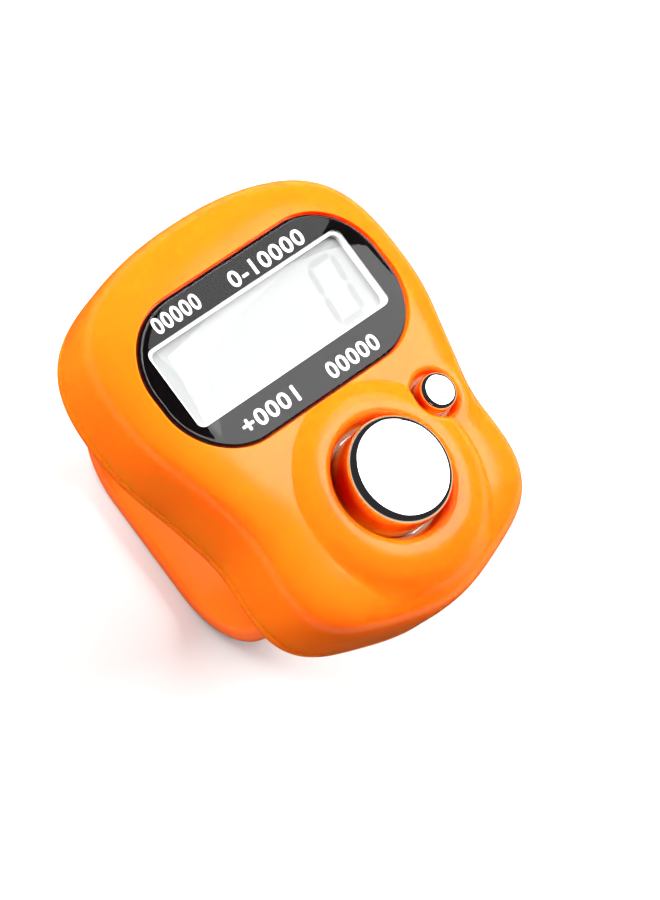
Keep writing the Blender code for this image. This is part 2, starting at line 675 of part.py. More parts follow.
def base_shell():
    """Underside: finger saddle, strap sockets, coin cell pocket, screw bosses and the locating lip."""
    seam = PARTING_LEVEL - SEAM_GAP
    shell = loft("base_shell", base_rings(0, RIM_LEVEL, seam, BASE_ROUND_REACH, BASE_ROUND_HEIGHT),
                 ORANGE)
    lip_inset = WALL + FIT
    lip = loft("lip", [case_ring(DRAFT + lip_inset, seam - LIP_HEIGHT),
                       case_ring(DRAFT + lip_inset, PARTING_LEVEL + LIP_HEIGHT)])
    join(shell, lip)
    floor = RIM_LEVEL + FLOOR_WALL
    above_lip = PARTING_LEVEL + LIP_HEIGHT + OVERRUN
    room = loft("base_cavity", base_rings(lip_inset + LIP_WALL, floor, above_lip, BASE_ROUND_REACH - WALL,
                                          BASE_ROUND_HEIGHT - WALL))
    over_saddle = cross_rod("saddle_floor", (0, SADDLE_AXIS_LEVEL), SADDLE_RADIUS + FLOOR_WALL,
                            BODY_WIDTH + OVERRUN, 2 * LARGE_STEPS)
    cut(room, over_saddle)
    cut(shell, room)

    for index, place in enumerate(both_sides(CASE_SCREW_PLACES)):
        clear = rod(f"lip_gap_{index}", place, CASE_BOSS_RADIUS + 2 * FIT, seam, above_lip)
        post = rod(f"base_boss_{index}", place, CASE_BOSS_RADIUS, floor - FLOOR_WALL / 2, seam)
        cut(shell, clear)
        join(shell, post)

    join(shell, *socket_blocks("socket_block", 0))

    pocket_low = RIM_LEVEL + FLOOR_WALL / 2
    lug_room = math.hypot(DOOR_RADIUS + LUG_REACH, LUG_WIDTH / 2) + FIT
    join(
        shell,
        rod("pocket_foot", (0, 0), lug_room + POCKET_WALL, pocket_low, CONTACT_SLOT_LOW, LARGE_STEPS),
        rod("pocket_wall", (0, 0), CELL_RADIUS + KEY_FIT + POCKET_WALL, pocket_low, CELL_HIGH + LAYER_GAP,
            LARGE_STEPS),
    )
    cut(
        shell,
        cross_rod("saddle_cut", (0, SADDLE_AXIS_LEVEL), SADDLE_RADIUS, BODY_WIDTH + OVERRUN, 2 * LARGE_STEPS),
        rod("cell_cut", (0, 0), CELL_RADIUS + KEY_FIT, RIM_LEVEL - OVERRUN, CELL_HIGH + OVERRUN, LARGE_STEPS),
        rod("door_cut", (0, 0), DOOR_RADIUS + FIT, RIM_LEVEL - OVERRUN, SADDLE_LEVEL + FLOOR_WALL + FIT,
            LARGE_STEPS),
        rod("lug_room_cut", (0, 0), lug_room, SADDLE_LEVEL + FLOOR_WALL, LUG_ROOM_TOP, LARGE_STEPS),
    )
    notch_half = LUG_WIDTH / 2 + 2 * FIT
    notch = box("lug_notches", (-lug_room, -notch_half, RIM_LEVEL - OVERRUN),
                (lug_room, notch_half, LUG_ROOM_TOP))
    notch.rotation_euler.z = math.radians(-DOOR_TURN_DEG)
    contact_half = CONTACT_WIDTH / 2 + FIT
    contact_slot = box("contact_slot", (-contact_half, CELL_RADIUS, CONTACT_SLOT_LOW),
                       (contact_half, CELL_RADIUS + KEY_FIT + POCKET_WALL + OVERRUN, CELL_HIGH + OVERRUN))
    cut(shell, notch, contact_slot)

    beads = {"display": (STRAP_LEG_Y, 0.0, 1), "key": (CLASP_Y, CLASP_SWING_DEG, -1)}
    for end, (y, swing, side) in beads.items():
        width = STRAP_WIDTH + 2 * STRAP_GAP
        cut(shell, cross_rod(f"{end}_socket", (y, BEAD_LEVEL), BEAD_RADIUS + FIT, width, MIDDLE_STEPS),
            mouth(f"{end}_mouth", y, swing, side))

    for index, place in enumerate(both_sides(CASE_SCREW_PLACES)):
        bore = rod(f"counterbore_{index}", place, CASE_HEAD_RADIUS + FIT, RIM_LEVEL - OVERRUN,
                   case_screw_head_level())
        shank = rod(f"screw_way_{index}", place, CASE_SHANK_RADIUS + FIT, RIM_LEVEL, PARTING_LEVEL + OVERRUN,
                    SCREW_STEPS)
        cut(shell, bore, shank)
    return finish(shell)


def display_lens():
    """Clear cover over the display: flat below, its upper face following the case's crown just under it."""
    outline = rounded_rectangle(LENS_WIDTH, LENS_HEIGHT, LENS_CORNER, LENS_Y)
    lens = plate("display_lens", [outline], DISPLAY_LEVEL + LAYER_GAP, CROWN_LEVEL + OVERRUN, CLEAR)
    crown = loft("lens_crown", [case_ring(0, BELT_LEVEL - OVERRUN)] + crown_rings(0, CROWN_RISE, CROWN_STEPS))
    crown.location.z = -LENS_SINK
    boolean(lens, [crown], "INTERSECT")
    return finish(lens)


def mask_film():
    """Black printed film under the lens, open over the display."""
    outline = rounded_rectangle(LENS_WIDTH, LENS_HEIGHT, LENS_CORNER, LENS_Y)
    window = rounded_rectangle(WINDOW_WIDTH, WINDOW_HEIGHT, WINDOW_CORNER, WINDOW_Y)
    return plate("mask_film", [outline, window], DISPLAY_LEVEL - FILM_THICKNESS, DISPLAY_LEVEL, BLACK_PRINT)


def display_frame():
    """White frame that carries the glass: a wall round it and a lip over its edge."""
    view = rounded_rectangle(WINDOW_WIDTH - 2 * FRAME_LIP_REACH, WINDOW_HEIGHT - 2 * FRAME_LIP_REACH,
                             WINDOW_CORNER, WINDOW_Y)
    outer = rounded_rectangle(FRAME_WIDTH, FRAME_HEIGHT, FRAME_CORNER, FRONT_GLASS_Y)
    frame = plate("display_frame", [outer, view], BOARD_TOP + LAYER_GAP, FRAME_TOP - LAYER_GAP, WHITE)
    half = (FRAME_INNER_WIDTH / 2, FRAME_INNER_HEIGHT / 2)
    pocket = box("glass_pocket", (-half[0], FRONT_GLASS_Y - half[1], BOARD_TOP - OVERRUN),
                 (half[0], FRONT_GLASS_Y + half[1], FRAME_TOP - FRAME_LIP))
    cut(frame, pocket)
    return finish(frame)


def slab(name, width, height, centre_y, top, thickness, material):
    return box(name, (-width / 2, centre_y - height / 2, top - thickness),
               (width / 2, centre_y + height / 2, top), material)


def display_stack():
    """The display cell's layers, front to back, and the striped connector to the board."""
    sheet_width = GLASS_WIDTH - 2 * POLARISER_MARGIN
    sheet_height = REAR_GLASS_HEIGHT - 2 * POLARISER_MARGIN
    slab("front_polariser", sheet_width, sheet_height, WINDOW_Y, POLARISER_TOP, POLARISER_THICKNESS, GLASS)
    slab("front_glass", GLASS_WIDTH, FRONT_GLASS_HEIGHT, FRONT_GLASS_Y, FRONT_GLASS_TOP, GLASS_THICKNESS,
         GLASS)
    slab("rear_glass", GLASS_WIDTH, REAR_GLASS_HEIGHT, WINDOW_Y, REAR_GLASS_TOP, GLASS_THICKNESS, GLASS)
    slab("reflector", sheet_width, sheet_height, WINDOW_Y, REFLECTOR_TOP, POLARISER_THICKNESS, SILVER_FILM)
    ledge_y = FRONT_GLASS_Y - FRONT_GLASS_HEIGHT / 2 + ZEBRA_WIDTH / 2 + FIT
    top = FRONT_GLASS_TOP - GLASS_THICKNESS - LAYER_GAP
    height = top - BOARD_TOP - LAYER_GAP
    slab("zebra_connector", GLASS_WIDTH - 2 * GLASS_SIDE_MARGIN, ZEBRA_WIDTH, ledge_y, top, height, ZEBRA)


def circuit_board():
    """Board cut to the case, with its corners cut away for the case bosses and holes for its own screws."""
    outline = case_ring(DRAFT + BOARD_INSET, 0)[:, :2]
    board = plate("circuit_board", [outline], BOARD_BOTTOM, BOARD_TOP, BOARD_GREEN)
    for index, place in enumerate(BOARD_SCREW_PLACES):
        cut(board, rod(f"board_hole_{index}", place, BOARD_SHANK_RADIUS + FIT, BOARD_BOTTOM - OVERRUN,
                       BOARD_TOP + OVERRUN, SCREW_STEPS))
    reach = CASE_BOSS_RADIUS + 2 * FIT
    for index, (x, y) in enumerate(both_sides(CASE_SCREW_PLACES)):
        inner = (x - math.copysign(reach, x), y - math.copysign(reach, y), BOARD_BOTTOM - OVERRUN)
        outer = (math.copysign(BODY_WIDTH / 2, x), math.copysign(BODY_LENGTH / 2, y), BOARD_TOP + OVERRUN)
        low, high = np.sort([inner, outer], axis=0)
        cut(board, box(f"board_corner_{index}", low, high))
    return finish(board)


def board_parts():
    """Epoxy blob over the chip and two small components, on the upper side under the display."""
    base = BOARD_TOP + LAYER_GAP
    angles = np.linspace(math.pi / 2, 0, CORNER_STEPS)
    dome = [(BLOB_RADIUS * math.cos(a), base + BLOB_HEIGHT * math.sin(a)) for a in angles]
    dome[0] = (0, base + BLOB_HEIGHT)
    finish(turned("chip_blob", (BLOB_X, WINDOW_Y - BLOB_BACK), dome + [(0, base)], SMALL_STEPS, EPOXY))
    length, width, height = PASSIVE_SIZE
    x = PASSIVE_X
    for name, y in (("capacitor", WINDOW_Y + CAPACITOR_AHEAD), ("resistor", WINDOW_Y - RESISTOR_BACK)):
        low = (x - length / 2, y - width / 2, base)
        high = (x + length / 2, y + width / 2, base + height)
        box(name, low, high, CERAMIC)


def key(name, centre, radius, top, edge, stem_radius, stem_bottom, steps, material):
    """A chromed key: a hollow cap with a rounded edge, a flange under the cover and a stem in its middle."""
    flange_top = CEILING_LEVEL - LAYER_GAP
    flange_bottom = flange_top - FLANGE_THICKNESS
    inside = radius - COUNT_WALL
    profile = [(0, top), *arc((radius - edge, top - edge), edge, 90, 0, KEY_EDGE_STEPS)]
    rim = radius + FLANGE_REACH
    profile += [(radius, flange_top), (rim, flange_top), (rim, flange_bottom)]
    if inside - stem_radius > COUNT_WALL:
        roof = top - COUNT_WALL - edge
        profile += [(inside, flange_bottom), (inside, roof), (stem_radius, roof)]
    else:
        profile += [(stem_radius, flange_bottom)]
    profile += [(stem_radius, stem_bottom), (0, stem_bottom)]
    return finish(turned(name, centre, profile, steps, material))


def rubber_dome(name, centre, radius, top):
    """A hollow rubber spring: a flat top on a sloping skirt that buckles, with a foot on the board."""
    base = BOARD_TOP + LAYER_GAP
    shoulder = radius / 2
    profile = [
        (0, top), (shoulder, top), (radius, base + DOME_WALL), (radius + DOME_WALL, base + DOME_WALL),
        (radius + DOME_WALL, base), (radius - DOME_WALL, base), (shoulder - DOME_WALL, top - DOME_WALL),
        (0, top - DOME_WALL),
    ]
    return finish(turned(name, centre, profile, SMALL_STEPS, RUBBER))


def keys():
    """Both keys and the rubber springs under them. It gives back the keys."""
    count_gap = COUNT_TRAVEL + DOME_WALL
    count_stem = BOARD_TOP + LAYER_GAP + count_gap + LAYER_GAP
    count_key = key("count_key", (0, COUNT_Y), COUNT_RADIUS, DISPLAY_LEVEL + COUNT_PROUD, COUNT_EDGE,
                    COUNT_STEM_RADIUS, count_stem, LARGE_STEPS, CHROME)
    rubber_dome("count_spring", (0, COUNT_Y), DOME_RADIUS, count_stem - LAYER_GAP)
    reset_gap = RESET_TRAVEL + DOME_WALL
    reset_stem = BOARD_TOP + LAYER_GAP + reset_gap + LAYER_GAP
    reset_key = key("reset_key", (RESET_X, RESET_Y), RESET_RADIUS, DISPLAY_LEVEL + RESET_PROUD, RESET_EDGE,
                    RESET_RADIUS - COUNT_EDGE, reset_stem, SMALL_STEPS, CHROME)
    rubber_dome("reset_spring", (RESET_X, RESET_Y), RESET_DOME_RADIUS, reset_stem - LAYER_GAP)
    return count_key, reset_key


def coin_cell():
    """Coin cell, its narrower cap upwards."""
    cap = CELL_RADIUS - CELL_CAP_INSET
    profile = [
        (0, CELL_HIGH), (cap, CELL_HIGH), (cap, CELL_HIGH - CELL_STEP), (CELL_RADIUS, CELL_HIGH - CELL_STEP),
        (CELL_RADIUS, CELL_LOW), (0, CELL_LOW),
    ]
    return finish(turned("coin_cell", (0, 0), profile, LARGE_STEPS, STEEL))


def strip(name, points, width, thickness, material):
    """A bent metal strip: a path of (y, z) points spread along X by width and given thickness."""
    mesh = bpy.data.meshes.new(name)
    left = [(-width / 2, y, z) for y, z in points]
    right = [(width / 2, y, z) for y, z in points]
    count = len(points)
    faces = [(i, i + 1, count + i + 1, count + i) for i in range(count - 1)]
    mesh.from_pydata(left + right, [], faces)
    obj = add_object(name, mesh, material)
    thick = obj.modifiers.new("thickness", "SOLIDIFY")
    thick.thickness = thickness
    thick.offset = 0
    thick.use_even_offset = True
    return obj


def contacts():
    """Spring leaf on the cell's cap and a clip on its rim, both under the board."""
    under = BOARD_BOTTOM - LAYER_GAP - CONTACT_THICKNESS / 2
    touch = CELL_HIGH + LAYER_GAP + CONTACT_THICKNESS / 2
    reach = CELL_RADIUS - CELL_CAP_INSET
    tip = (reach / 2, (under + touch) / 2)
    leaf = [(-reach, under), (-reach / 3, under), (0, touch), (reach / 3, touch), tip]
    strip("negative_contact", leaf, CONTACT_WIDTH, CONTACT_THICKNESS, STEEL)
    side = CELL_RADIUS + KEY_FIT
    foot = CONTACT_SLOT_LOW + FIT
    tab = side + CELL_CAP_INSET + CONTACT_WIDTH / 2
    clip = [(side, foot), (side, under - CELL_STEP), (side + CELL_STEP, under), (tab, under)]
    strip("positive_contact", clip, CONTACT_WIDTH, CONTACT_THICKNESS, STEEL)


def battery_door():
    """Coin-slot door: a disc with a collar round the cell and two lugs that hook over the floor."""
    door = rod("battery_door", (0, 0), DOOR_RADIUS, DOOR_LOW, DOOR_HIGH, LARGE_STEPS, ORANGE)
    collar_high = DOOR_HIGH + LUG_HEIGHT
    collar = rod("door_collar", (0, 0), DOOR_RADIUS, DOOR_HIGH - DOOR_THICKNESS / 2, collar_high, LARGE_STEPS)
    lug_low = SADDLE_LEVEL + FLOOR_WALL + FIT
    lug_half = (DOOR_RADIUS + LUG_REACH, LUG_WIDTH / 2)
    lugs = box("door_lugs", (-lug_half[0], -lug_half[1], lug_low), (*lug_half, collar_high))
    join(door, collar, lugs)
    room = rod("door_room", (0, 0), DOOR_RADIUS - DOOR_RING_WALL, DOOR_HIGH, collar_high + OVERRUN,
               LARGE_STEPS)
    slot_half = (COIN_SLOT_LENGTH / 2, COIN_SLOT_WIDTH / 2)
    slot = box("coin_slot", (-slot_half[0], -slot_half[1], DOOR_LOW - OVERRUN),
               (*slot_half, DOOR_LOW + COIN_SLOT_DEPTH))
    cut(door, room, slot)
    return finish(door)


def screw(name, place, head_low, head_radius, shank_radius, length):
    """A pan-head screw pointing up, with a cross cut in its head."""
    head_high = head_low + SCREW_HEAD_HEIGHT
    tip = head_high + length
    profile = [
        (0, tip), (shank_radius / 2, tip - shank_radius / 2), (shank_radius, tip - shank_radius),
        (shank_radius, head_high), (head_radius, head_high), (head_radius, head_low + SCREW_HEAD_HEIGHT / 2),
        (head_radius * 2 / 3, head_low), (0, head_low),
    ]
    obj = turned(name, place, profile, SCREW_STEPS, STEEL)
    reach, half = head_radius / 2, SCREW_CROSS_WIDTH / 2
    for turn, (x, y) in enumerate(((reach, half), (half, reach))):
        low = (place[0] - x, place[1] - y, head_low - OVERRUN)
        high = (place[0] + x, place[1] + y, head_low + SCREW_HEAD_HEIGHT / 2)
        cut(obj, box(f"{name}_cross_{turn}", low, high))
    return finish(obj)


def screws():
    low = case_screw_head_level() - SCREW_HEAD_HEIGHT - LAYER_GAP
    for index, place in enumerate(both_sides(CASE_SCREW_PLACES), 1):
        screw(f"case_screw_{index}", place, low, CASE_HEAD_RADIUS, CASE_SHANK_RADIUS, CASE_SCREW_LENGTH)
    low = BOARD_BOTTOM - LAYER_GAP - SCREW_HEAD_HEIGHT
    for index, place in enumerate(BOARD_SCREW_PLACES, 1):
        screw(f"board_screw_{index}", place, low, BOARD_HEAD_RADIUS, BOARD_SHANK_RADIUS, BOARD_SCREW_LENGTH)


def strap_path():
    """Middle line (y, z) of the long half: down, round under the finger, and up to its tip."""
    floor = STRAP_THICKNESS / 2
    bend_level = floor + STRAP_BEND
    inner = STRAP_LEG_Y - STRAP_BEND
    tip = RIM_LEVEL - STRAP_TIP_CLEARANCE
    down = arc((inner, bend_level), STRAP_BEND, 0, -90, 2 * CORNER_STEPS)
    up = arc((-inner, bend_level), STRAP_BEND, -90, -180, 2 * CORNER_STEPS)
    return [(STRAP_LEG_Y, BEAD_LEVEL), *down, *up, (-STRAP_LEG_Y, tip)]


def ribbon(name, path, material):
    """A strap of even thickness along a path of (y, z) points, with softened edges."""
    obj = strip(name, path, STRAP_WIDTH, STRAP_THICKNESS, material)
    bevel(obj, STRAP_EDGE)
    return bake(obj)


def point_from_tip(path, distance):
    """The place and direction on a path at a distance back from its last point."""
    places = np.array(path)[::-1]
    spans = np.linalg.norm(np.diff(places, axis=0), axis=1)
    ends = np.cumsum(spans)
    index = int(np.searchsorted(ends, distance))
    start, end = places[index], places[index + 1]
    direction = (end - start) / spans[index]
    return start + direction * (distance - (ends[index] - spans[index])), direction


def long_strap():
    """The half that goes round the finger, with a row of holes at its free end."""
    path = strap_path()
    strap = ribbon("strap_long", path, STRAP_ORANGE)
    bead = cross_rod("long_bead", (STRAP_LEG_Y, BEAD_LEVEL), BEAD_RADIUS, STRAP_WIDTH, MIDDLE_STEPS)
    join(strap, bead)
    first = path[-1][1] - (BEAD_LEVEL - PEG_FIRST)
    for index in range(HOLE_COUNT):
        (y, z), (dy, dz) = point_from_tip(path, first + index * PEG_PITCH)
        start = (0, y - dz * STRAP_THICKNESS, z + dy * STRAP_THICKNESS)
        end = (0, y + dz * STRAP_THICKNESS, z - dy * STRAP_THICKNESS)
        cut(strap, cone(f"strap_hole_{index}", start, end, HOLE_RADIUS, HOLE_RADIUS, SMALL_STEPS))
    return finish(strap)


def short_strap():
    """The clasp: a short leg on its bead, with tapered pegs that enter the long half's holes."""
    strap = ribbon("strap_clasp", [(CLASP_Y, BEAD_LEVEL), (CLASP_Y, BEAD_LEVEL - CLASP_LENGTH)], STRAP_ORANGE)
    bead = cross_rod("clasp_bead", (CLASP_Y, BEAD_LEVEL), BEAD_RADIUS, STRAP_WIDTH, MIDDLE_STEPS)
    join(strap, bead)
    for index in range(PEG_COUNT):
        level = BEAD_LEVEL - PEG_FIRST - index * PEG_PITCH
        tip = CLASP_Y + STRAP_THICKNESS / 2 + STRAP_GAP + STRAP_THICKNESS
        root = (0, CLASP_Y, level)
        peg = cone(f"peg_{index}", root, (0, tip, level), PEG_ROOT_RADIUS, PEG_TIP_RADIUS, SMALL_STEPS)
        join(strap, peg)
    return finish(strap)


def pivot(name, place, *objects):
    """An empty on a moving piece's axis, which carries the piece."""
    empty = bpy.data.objects.new(name, None)
    empty.location = place
    empty.empty_display_size = STRAP_WIDTH / 2
    PARTS.objects.link(empty)
    for obj in objects:
        obj.parent = empty
        obj.matrix_parent_inverse = Matrix.Translation(-Vector(place))


top_shell()
base_shell()
display_lens()
mask_film()
display_frame()
display_stack()
circuit_board()
board_parts()
count_key, reset_key = keys()
coin_cell()
contacts()
door = battery_door()
screws()
long_strap()
clasp = short_strap()
pivot("count_key_slide", (0, COUNT_Y, DISPLAY_LEVEL), count_key)
pivot("reset_key_slide", (RESET_X, RESET_Y, DISPLAY_LEVEL), reset_key)
pivot("door_axis", (0, 0, DOOR_LOW), door)
pivot("clasp_axis", (0, CLASP_Y, BEAD_LEVEL), clasp)
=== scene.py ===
"""Looks of a digital tally counter worn on a finger: moulded case, display, chromed keys and clasped strap.

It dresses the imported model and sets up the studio. +Z comes out of the display face, +Y points to the display
end, +X runs along the display's long side, and the strap's underside lies on Z = 0.
"""

import math

import bmesh
import bpy
import numpy as np
from bpy.props import FloatProperty, FloatVectorProperty, PointerProperty, StringProperty
from mathutils import Matrix, Vector
from mathutils.geometry import delaunay_2d_cdt


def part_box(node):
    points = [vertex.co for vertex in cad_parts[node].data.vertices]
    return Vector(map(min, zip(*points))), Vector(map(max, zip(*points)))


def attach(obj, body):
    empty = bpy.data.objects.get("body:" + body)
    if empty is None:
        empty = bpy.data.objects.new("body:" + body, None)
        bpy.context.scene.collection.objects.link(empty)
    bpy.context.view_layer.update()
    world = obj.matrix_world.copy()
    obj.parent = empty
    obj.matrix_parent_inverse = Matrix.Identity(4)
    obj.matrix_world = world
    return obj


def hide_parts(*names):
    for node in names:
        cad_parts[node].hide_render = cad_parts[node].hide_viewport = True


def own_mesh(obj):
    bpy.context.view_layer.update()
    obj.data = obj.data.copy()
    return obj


bl_info = {
    "name": "Finger tally counter",
    "version": (1, 0, 0),
    "blender": (4, 5, 0),
    "location": "3D View > Sidebar > Counter",
    "description": "Builds the fine surfaces, finishes and studio of a digital tally counter",
    "category": "Object",
}

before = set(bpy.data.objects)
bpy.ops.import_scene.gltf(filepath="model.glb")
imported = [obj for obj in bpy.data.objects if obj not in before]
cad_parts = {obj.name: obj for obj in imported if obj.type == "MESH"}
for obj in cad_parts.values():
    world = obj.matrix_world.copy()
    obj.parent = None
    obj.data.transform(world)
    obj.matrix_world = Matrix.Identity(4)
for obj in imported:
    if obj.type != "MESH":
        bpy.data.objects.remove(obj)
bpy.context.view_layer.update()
MM = 0.001
UP, DOWN = np.array((0.0, 0.0, 1.0)), np.array((0.0, 0.0, -1.0))


def linear(code):
    """An sRGB hex colour as linear red, green and blue."""
    values = [int(code[i:i + 2], 16) / 255 for i in (1, 3, 5)]
    return tuple(v / 12.92 if v <= 0.04045 else ((v + 0.055) / 1.055) ** 2.4 for v in values)


def length(name, description, default):
    return FloatProperty(name=name, description=description, default=default, unit="LENGTH", precision=5)


def number(name, description, default, low, high):
    return FloatProperty(name=name, description=description, default=default, min=low, max=high)


def angle(name, description, degrees):
    return FloatProperty(name=name, description=description, default=math.radians(degrees), subtype="ANGLE")


def colour(name, description, code):
    return FloatVectorProperty(name=name, description=description, default=linear(code), subtype="COLOR",
                               size=3, min=0, max=1)


def level(node, top=True):
    """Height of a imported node's top or bottom."""
    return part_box(node)[1 if top else 0].z


def middle(node):
    """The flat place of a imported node's middle."""
    low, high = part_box(node)
    return np.array([(low.x + high.x) / 2, (low.y + high.y) / 2])


def span(node, axis):
    low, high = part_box(node)
    return high[axis] - low[axis]


# Curves and fields

OUTLINE_SHARES = np.array([
    (0.0, 1.0), (0.44, 0.966), (0.759, 0.868), (0.938, 0.709), (1.0, 0.481), (0.978, 0.199),
    (0.871, -0.105), (0.817, -0.375), (0.835, -0.601), (0.714, -0.814), (0.404, -0.932), (0.0, -1.0),
])
OUTLINE_COUNT = 360
COSINES = 14


def cosine_outline(half_width, half_length):
    """Weights of the cosines that add up to the outline's reach, fitted to a curve through the shares."""
    right = OUTLINE_SHARES * (half_width, half_length)
    mirrored = right * (-1, 1)
    knots = np.concatenate([mirrored[1:2], right, mirrored[-2:-1]])
    before, start, end, after = knots[:-3], knots[1:-2], knots[2:-1], knots[3:]
    t = np.linspace(0, 1, 40, endpoint=False)[:, None, None]
    curve = (
        2 * start + (end - before) * t + (2 * before - 5 * start + 4 * end - after) * t**2
        + (3 * start - before - 3 * end + after) * t**3
    ) / 2
    curve = curve.reshape(-1, 2)
    curve *= (half_width, half_length) / np.abs(curve).max(axis=0)
    angles = np.arctan2(curve[:, 0], curve[:, 1])
    waves = np.cos(angles[:, None] * np.arange(COSINES))
    return np.linalg.lstsq(waves, np.linalg.norm(curve, axis=1), rcond=None)[0]


WEIGHTS = cosine_outline(span("top_shell", 0) / 2, span("top_shell", 1) / 2)


def reach(x, y):
    """The outline's distance from the middle towards a point: a sum of cosines of its bearing."""
    bearing = np.arctan2(x, y)
    return np.cos(bearing[..., None] * np.arange(COSINES)) @ WEIGHTS


def outline(count=OUTLINE_COUNT):
    """The case's outline in equal steps, counter-clockwise."""
    bearing = np.linspace(0, -math.tau, 8 * count, endpoint=False)
    flat = np.column_stack([np.sin(bearing), np.cos(bearing)])
    flat = unit(even(flat * reach(flat[:, 0], flat[:, 1])[:, None], count))
    return flat * reach(flat[:, 0], flat[:, 1])[:, None]


def even(curve, count):
    """A closed curve in equal steps."""
    closed = np.concatenate([curve, curve[:1]])
    return along_path(closed, np.linspace(0, travel(closed)[-1], count, endpoint=False))


def outward(curve):
    """Directions out of a counter-clockwise closed curve, square to its neighbours' line."""
    tangent = np.roll(curve, -1, axis=0) - np.roll(curve, 1, axis=0)
    return unit(np.column_stack([tangent[:, 1], -tangent[:, 0]]))


def unit(vectors):
    return vectors / np.linalg.norm(vectors, axis=-1, keepdims=True)


def circle(centre, radius, count):
    angles = np.linspace(0, math.tau, count, endpoint=False)
    return np.column_stack([centre[0] + radius * np.cos(angles), centre[1] + radius * np.sin(angles)])


def round_box(width, height, corner, centre, count):
    """A rectangle with round corners, in equal steps, counter-clockwise."""
    corners = []
    for turn, (side_x, side_y) in enumerate(((1, 1), (-1, 1), (-1, -1), (1, -1))):
        angles = math.radians(90) * turn + np.linspace(0, math.pi / 2, 40)
        x = side_x * (width / 2 - corner) + corner * np.cos(angles)
        y = side_y * (height / 2 - corner) + corner * np.sin(angles)
        corners.append(np.column_stack([x, y]) + centre)
    return even(np.concatenate(corners), count)


def box_distance(points, width, height, corner, centre):
    """Distance of points from a rectangle with round corners, below zero inside it."""
    away = np.abs(points - centre) - (width / 2 - corner, height / 2 - corner)
    outside = np.linalg.norm(np.maximum(away, 0), axis=-1)
    return outside + np.minimum(away.max(axis=-1), 0) - corner


def smooth_max(a, b, width):
    """The larger of two fields, rounded where they are closer than width."""
    near = np.maximum(width - np.abs(a - b), 0) / width
    return np.maximum(a, b) + near**2 * width / 4


def slopes(height, flat):
    """Upward normals of a height field, from its slopes across two micrometres."""
    dx, dy = gradient(height, flat)
    return unit(np.stack([-dx, -dy, np.ones_like(dx)], axis=-1))


def gradient(values, flat):
    """Slopes of a field along X and Y."""
    step = 0.001 * MM
    return [(values(flat + move) - values(flat - move)) / (2 * step) for move in ((step, 0), (0, step))]


def at(flat, height):
    """Flat points lifted to a height, which is one number or one for each."""
    return np.concatenate([flat, np.broadcast_to(height, flat.shape[:-1])[..., None]], axis=-1)


# Patches: points, outward normals and faces

def quads(rows, count, closed=True):
    """Faces over rows of points. A closed row's last point joins its first."""
    index = np.arange(rows * count).reshape(rows, count)
    if closed:
        index = np.concatenate([index, index[:, :1]], axis=1)
    below, above = index[:-1], index[1:]
    return np.stack([below[:, :-1], below[:, 1:], above[:, 1:], above[:, :-1]], axis=-1).reshape(-1, 4)


def grid(points, normals):
    """A patch over closed rows of points, with a normal for each point, each column or the whole patch."""
    normals = np.broadcast_to(normals, points.shape)
    return points.reshape(-1, 3), normals.reshape(-1, 3), quads(*points.shape[:2])


def profile_normals(profile, side):
    """Normals of a profile of (out, up) points, square to its neighbours' line, on its left for side 1."""
    tangent = np.empty_like(profile)
    tangent[1:-1] = profile[2:] - profile[:-2]
    tangent[0], tangent[-1] = profile[1] - profile[0], profile[-1] - profile[-2]
    return side * unit(np.column_stack([-tangent[:, 1], tangent[:, 0]]))


def swept(base, out, profile, side):
    """A profile of (out, up) points carried round a base, with the profile's normals."""
    profile = np.asarray(profile, float)
    normal = profile_normals(profile, side)
    points = at(base + profile[:, :1, None] * out, profile[:, 1:])
    return grid(points, at(normal[:, :1, None] * out, normal[:, 1:]))


def carried(curve, profile, side=-1):
    """A profile of (out, up) points carried round a closed curve, out being along the curve's normals."""
    return swept(curve, outward(curve), profile, side)


def turned(centre, profile, count, side=-1):
    """A profile of (radius, level) points turned about an upright axis."""
    return swept(centre, circle((0, 0), 1, count), profile, side)


def between(lower, upper, normal, rows=2):
    """Rows of points from one closed curve to another in even steps, with a normal for each column."""
    return grid(lower + (upper - lower) * np.linspace(0, 1, rows)[:, None, None], normal)


def rolled_in(curve, out, radius, height, steps):
    """A surface's edge rolled over a quarter turn into an upright wall: the patch and its last row."""
    sine, cosine = quarter(steps)
    points = at(curve - out * radius * sine, height(curve) - radius * (1 - cosine[..., 0]))
    normals = at(-out * sine, cosine[..., 0])
    normals[0] = slopes(height, curve)
    return grid(points, normals), points[-1]


def field(outer, holes, inner, height, facing=1):
    """A height field between a closed curve and holes in it, in triangles through all the inner points."""
    rings = [outer, *holes]
    flat = np.concatenate([*rings, inner])
    starts = np.cumsum([0] + [len(ring) for ring in rings])
    edges = []
    for start, ring in zip(starts, rings):
        edges += [(start + i, start + (i + 1) % len(ring)) for i in range(len(ring))]
    found = delaunay_2d_cdt([Vector(p) for p in flat / MM], edges, [], 1, 1e-6)
    original = np.array([index[0] for index in found[3]])
    faces = original[np.array(found[2])]
    centres = flat[faces].mean(axis=1)
    for hole in holes:
        faces, centres = faces[~within(centres, hole)], centres[~within(centres, hole)]
    return at(flat, height(flat)), facing * slopes(height, flat), faces


def within(points, ring):
    """Whether points lie inside a closed curve: a line along X crosses it an odd number of times."""
    x, y = points[:, :1], points[:, 1:]
    start, end = ring, np.roll(ring, -1, axis=0)
    spans = (start[:, 1] > y) != (end[:, 1] > y)
    rise = np.where(end[:, 1] == start[:, 1], 1, end[:, 1] - start[:, 1])
    crossing = start[:, 0] + (y - start[:, 1]) * (end[:, 0] - start[:, 0]) / rise
    return (spans & (x < crossing)).sum(axis=1) % 2 == 1


def quarter(steps):
    """Sines and cosines over a quarter turn in even steps, shaped to multiply rows of flat points."""
    turn = np.radians(np.linspace(0, 90, steps))[:, None, None]
    return np.sin(turn), np.cos(turn)


